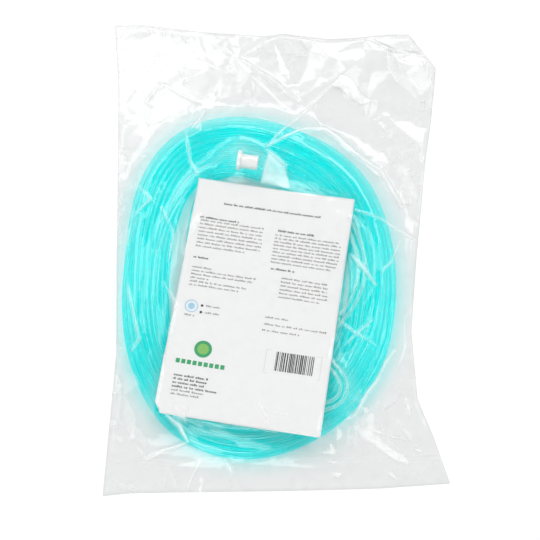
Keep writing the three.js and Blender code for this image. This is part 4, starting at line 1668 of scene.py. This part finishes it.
@dataclass
class Pouch:
    """The clear pouch: a back film on the floor and a front film over the contents.

    Attributes:
        front: Material of the front film.
        back: Material of the back film.
        contents: Heights of what lies in it.
        leaflet: The leaflet, over which the front film is smooth.
        left: Places along Y and X of its left edge, in mm.
        right: And of its right edge.
        top: Places along X and Y of its top edge, in mm.
        bottom: And of its bottom edge.
        seal: And of the seal's line above the bottom.
        flat: Width and length of each film laid flat, in metres.
        pitch: Spacing of the front film's points, in mm.
        back_pitch: And of the back film's.
        rim: Height of the front film's edge, in mm.
        clear: How far it stays off the contents, in mm.
        rounds: Rounds in which it is drawn over them.
        sag: How far it sinks in each, in mm.
        tall: How far above the floor the contents hold it up, in mm.
        crumples: The facets that it buckles into, from large to small.
        smooth: Share by which the facets are flatter near the coil, on the leaflet and below the seal.
        white: Share of the large facets that are painted white, a painted glare for reflections of the
            lights.
        glare_strength: How white these painted glare facets are at the least, and how much more at the most.
        seal_veil: How white the seal's line is.
        seal_line: How far that line lies off the seal, and half its width, in mm.
        slope: Points over which the film rises from its rim.
        windows: Blur of the coil's place that tells what is near it, and what is on it.
        paper_edge: Where the leaflet starts and ends to smooth the film, in mm inside its edge.
        seal_edge: Distance below the seal at which the film is smooth, in mm.
        touch: How near the film comes to the contents, in mm.
        glow: How far the coil's painted turquoise glow reaches.
        weld: How far the welded edge reaches inwards, in points.
        glare_boxes: Boxes in which more of the facets are painted white with glare, as low and high X, low
            and high Y
        and the share of facets.
    """

    front: Material
    back: Material
    contents: HeightMap
    leaflet: Leaflet
    left: tuple = (
        (-221, -142), (-160, -139), (-100, -136), (-20, -139), (80, -142), (160, -145), (221, -150.8),
    )
    right: tuple = (
        (-211, 145), (-172, 133), (-140, 121), (-80, 118), (-15, 125), (80, 137), (121, 144), (175, 151),
        (211, 127),
    )
    top: tuple = (
        (-151, 220.5), (-118, 221), (-59, 213.5), (1, 209), (20, 212), (62, 206), (86, 207), (125, 211),
    )
    bottom: tuple = ((-142, -221), (-121, -219), (-55, -218), (17, -217), (87, -215), (145, -211))
    seal: tuple = ((-138, -193), (0, -194), (128, -190))
    flat: tuple = (0.302, 0.442)
    pitch: float = 1.25
    back_pitch: float = 4.0
    rim: float = 0.3
    clear: float = 0.3
    rounds: int = 700
    sag: float = 0.012
    tall: float = 2.5
    smooth: tuple = (0.6, 0.75, 0.7)
    glare_strength: tuple = (0.1, 0.3)
    seal_veil: float = 0.16
    seal_line: tuple = (1.5, 1.4)
    slope: int = 4
    windows: tuple = ((6, 3), (1, 2))
    paper_edge: tuple = (-6, 2)
    seal_edge: float = 6.0
    touch: float = 0.12
    glow: float = 2.2
    weld: float = 1.5
    crumples: tuple = (
        Crumple(34.0, 2.0, 1.5, 35.0, 3), Crumple(15.0, 0.7, 1.8, -25.0, 8), Crumple(6.5, 0.1, 1.6, 70.0, 2),
    )
    # Share of facets painted white as glare
    white: float = 0.05
    glare_boxes: tuple = (
        (105, 155, 20, 190, 0.28), (-152, -80, 125, 215, 0.22), (-60, 20, 130, 190, 0.16),
        (-106, -74, -92, 46, 0.2), (-140, -85, -215, -120, 0.22), (54, 90, -100, -70, 0.3),
        (60, 130, -200, -120, 0.14), (-150, -110, -100, 120, 0.12),
    )

    def grid(self, pitch: float) -> tuple:
        """Lays a grid over the pouch's outline.

        Args:
            pitch: Its spacing, in mm.

        Returns:
            X and Y of its points, in mm.
        """
        across, along = 290, 432
        u, v = np.meshgrid(np.linspace(0, 1, int(across / pitch)), np.linspace(0, 1, int(along / pitch)))
        guess = across * u - across / 2
        low, high = (np.interp(guess, *zip(*edge)) for edge in (self.bottom, self.top))
        y = low + (high - low) * v
        x0, x1 = (np.interp(y, *zip(*edge)) for edge in (self.left, self.right))
        return x0 + (x1 - x0) * u, y

    def inwards(self, shape: tuple) -> np.ndarray:
        """Returns how many points lie between each point of the grid and the nearest edge."""
        rows, columns = shape
        j, i = np.meshgrid(np.arange(rows), np.arange(columns), indexing="ij")
        return np.minimum.reduce([i, j, columns - 1 - i, rows - 1 - j])

    def shape_front(self, x: np.ndarray, y: np.ndarray) -> tuple:
        """Pulls the front film over the contents and crumples it.

        Args:
            x: Places of its points along X, in mm.
            y: And along Y.

        Returns:
            The heights of its points in mm, and its masks by name.
        """
        read = self.contents.sample
        under = read(self.contents.z, x, y)
        edge = self.inwards(x.shape)
        inner = eased(0, self.slope, edge)
        z = settled(np.where(edge == 0, self.rim, under + self.clear), self.rounds, self.sag, True)
        z = self.rim + (blurred(z, 2, 2) + self.clear - self.rim) * inner
        wound = (self.contents.z > FLOOR + self.tall).astype(float)
        near, on_coil = (read(blurred(wound, *window), x, y) for window in self.windows)
        p, q = self.leaflet.flat(x, y)
        inside = np.minimum(self.leaflet.width / 2 - np.abs(p), self.leaflet.length / 2 - np.abs(q))
        on_paper = eased(*self.paper_edge, inside)
        below = np.interp(x, *zip(*self.seal)) - y
        free = np.ones_like(x)
        for share, there in zip(self.smooth, (near, on_paper, eased(0, self.seal_edge, below))):
            free = free * (1 - share * there)
        # Painted glare: a share of the large facets, more in the glare boxes, are painted white for
        # reflections of the lights
        glare_chance = np.full_like(x, self.white)
        for x0, x1, y0, y1, share in self.glare_boxes:
            glare_chance = np.where((x > x0) & (x < x1) & (y > y0) & (y < y1), share, glare_chance)
        veil = np.zeros_like(x)
        for number, crumple in enumerate(self.crumples):
            lift, own = crumple.relief(x, y)
            z = z + lift * free * inner
            if number < 2:
                glare_strength = self.glare_strength[0] + self.glare_strength[1] * own / glare_chance
                veil = np.maximum(veil, np.where(own < glare_chance * free * (1 - near), glare_strength, 0.0))
        # Crease crests are raised and painted white: partly real whitening, partly painted glare
        for crease in CREASES:
            cover = crease.cover(x, y)
            z = z + cover * crease.height * inner
            veil = np.maximum(veil, crease.veil * cover)
        # Painted reflections of the lights on flat patches
        for patch in GLARE_PATCHES:
            veil = np.maximum(veil, patch.veil * patch.cover(x, y))
        off, half = self.seal_line
        veil = np.maximum(veil, self.seal_veil * np.clip(1 - np.abs(np.abs(below) - off) / half, 0, 1))
        z = np.where(edge > 0, np.maximum(z, under + self.touch), z)
        # Painted glow: the film beside the coil, off the leaflet, gets a turquoise tint that stands for the
        # coil's light
        glow = np.clip(self.glow * near, 0, 1) * (1 - on_paper) * (1 - on_coil)
        return z, {"veil": veil, "glow": glow, "weld": np.clip(1 - edge / self.weld, 0, 1)}

    def film(self, name: str, node: str, points: np.ndarray, shape: tuple, material: Material) -> Object:
        """Builds one film.

        Args:
            name: The piece's name.
            node: The solid that it replaces.
            points: Its points, in mm.
            shape: Their rows and columns.
            material: Its material.

        Returns:
            The film.
        """
        ob = add_mesh(name, points, grid_faces(*shape))
        ob.data.materials.append(material)
        hand_over(ob, Slot.FILM, node)
        return ob

    def build(self) -> None:
        """Builds the back film and the front film."""
        x, y = self.grid(self.back_pitch)
        level = np.full_like(x, 0.05)
        back = self.film("back_film_sheet", "pouch_back_film", stacked(x, y, level), x.shape, self.back)
        x, y = self.grid(self.pitch)
        z, masks = self.shape_front(x, y)
        front = self.film("front_film_sheet", "pouch_front_film", stacked(x, y, z), x.shape, self.front)
        for name, values in masks.items():
            layer = front.data.attributes.new(name, "FLOAT", "POINT")
            layer.data.foreach_set("value", values.ravel())


# Studio


@dataclass(frozen=True)
class Studio:
    """Plain pale floor, soft studio light and the camera at the photograph's angle.

    Attributes:
        look_at: Where the camera looks, in mm.
        distance: How far it stands, in mm.
        elevation: How high, in degrees.
        lens: Its focal length for a 36 mm sensor.
        half_floor: Half the side of the floor, in mm.
        room: How bright the room is, at its walls and overhead, each after the height that it starts at.
        boxes: Azimuth and elevation in degrees, sides in metres and radiance of each light.
        away: How far the lights stand, in metres.
    """

    look_at: tuple = (-4.0, -24.0, 0.0)
    distance: float = 1040.0
    elevation: float = 71.0
    lens: float = 78.87
    half_floor: float = 3000.0
    room: tuple = ((0.74, 0.83), (0.94, 0.22))
    boxes: tuple = (
        ("box_left", 132, 56, (1.6, 0.7), 2.8), ("box_back", 74, 47, (1.4, 0.55), 3.2),
        ("box_right", 30, 60, (1.2, 0.55), 3.4), ("box_front", 250, 48, (1.4, 0.7), 4.2),
    )
    away: float = 2.4

    def camera(self) -> None:
        """Places the camera."""
        data = bpy.data.cameras.new("camera")
        data.lens = self.lens
        data.sensor_width = 36.0
        data.clip_start, data.clip_end = 0.05, 20.0
        ob = bpy.data.objects.new("camera", data)
        up = math.radians(self.elevation)
        ob.location = (self.look_at[0] * MM, (self.look_at[1] - self.distance * math.cos(up)) * MM,
                       self.distance * math.sin(up) * MM)
        ob.rotation_euler = (math.pi / 2 - up, 0, 0)
        bpy.context.collection.objects.link(ob)
        bpy.context.scene.camera = ob

    def floor(self) -> None:
        """Lays the floor."""
        half = self.half_floor
        corners = [(-half, -half, 0), (half, -half, 0), (half, half, 0), (-half, half, 0)]
        ob = add_mesh("studio_floor", corners, [(0, 1, 2, 3)])
        ob.data.materials.append(SolidFinish("studio_floor", (0.93, 0.93, 0.93), (0.94, 0.94, 0.94),
                                             (0.9, 0.95), 3.0, 0.0).build())

    def lights(self) -> None:
        """Lights the scene from a bright room and a few soft boxes."""
        world = bpy.data.worlds.new("studio")
        bpy.context.scene.world = world
        world.use_nodes = True
        tree = world.node_tree
        tree.nodes["Background"].inputs["Color"].default_value = (1, 1, 1, 1)
        place = put(tree, "ShaderNodeTexCoord").outputs["Generated"]
        height = put(tree, "ShaderNodeSeparateXYZ", {0: place}).outputs["Z"]
        tree.links.new(mapped(tree, height, *self.room), tree.nodes["Background"].inputs["Strength"])
        for name, azimuth, elevation, size, radiance in self.boxes:
            turn, up = math.radians(azimuth), math.radians(elevation)
            data = bpy.data.lights.new(name, "AREA")
            data.shape = "RECTANGLE"
            data.size, data.size_y = size
            data.energy = radiance * math.pi * size[0] * size[1]
            ob = bpy.data.objects.new(name, data)
            flat = self.away * math.cos(up)
            ob.location = (flat * math.cos(turn), flat * math.sin(turn), self.away * math.sin(up))
            ob.rotation_euler = (math.pi / 2 - up, 0, turn + math.pi / 2)
            bpy.context.collection.objects.link(ob)
        scene = bpy.context.scene
        scene.view_settings.view_transform = "Standard"
        scene.cycles.transparent_max_bounces = 32
        scene.cycles.max_bounces = 8

    def build(self) -> None:
        """Sets up camera, floor and lights."""
        self.camera()
        self.floor()
        self.lights()


def main() -> None:
    """Builds the pieces in order and reports each."""
    logging.basicConfig(level=logging.INFO, format="%(message)s")
    Studio().build()
    finishes = Finishes.build()
    connector = Connector(finishes.white).build()
    LOG.info("connector: %s", connector.name)
    supply = SupplyTube(CoilBand(), finishes.supply)
    supply.build(connector)
    LOG.info("supply tube: %.2f m", length_of(supply.line) * MM)
    lumens = LumenPair(finishes.lumen).build()
    LOG.info("lumen tubes: %s m", [round(length_of(line) * MM, 3) for line in lumens])
    contents = HeightMap()
    for node in ("y_connector", "slide_adjuster", "nosepiece"):
        ob = frame["nodes"][node]
        ob.data.materials.clear()
        ob.data.materials.append(finishes.lumen if node == "nosepiece" else finishes.clear)
        contents.add_solid(ob)
    contents.add_tube(supply.line, SUPPLY_OD)
    for line in lumens:
        contents.add_tube(line, LUMEN_OD)
    leaflet = Leaflet(finishes.paper, contents)
    leaflet.build(Print(finishes.inks))
    LOG.info("leaflet: printed")
    contents.add_solid(connector)
    Pouch(finishes.film, finishes.back_film, contents, leaflet).build()
    LOG.info("pouch: done")


if __name__ == "__main__":
    main()
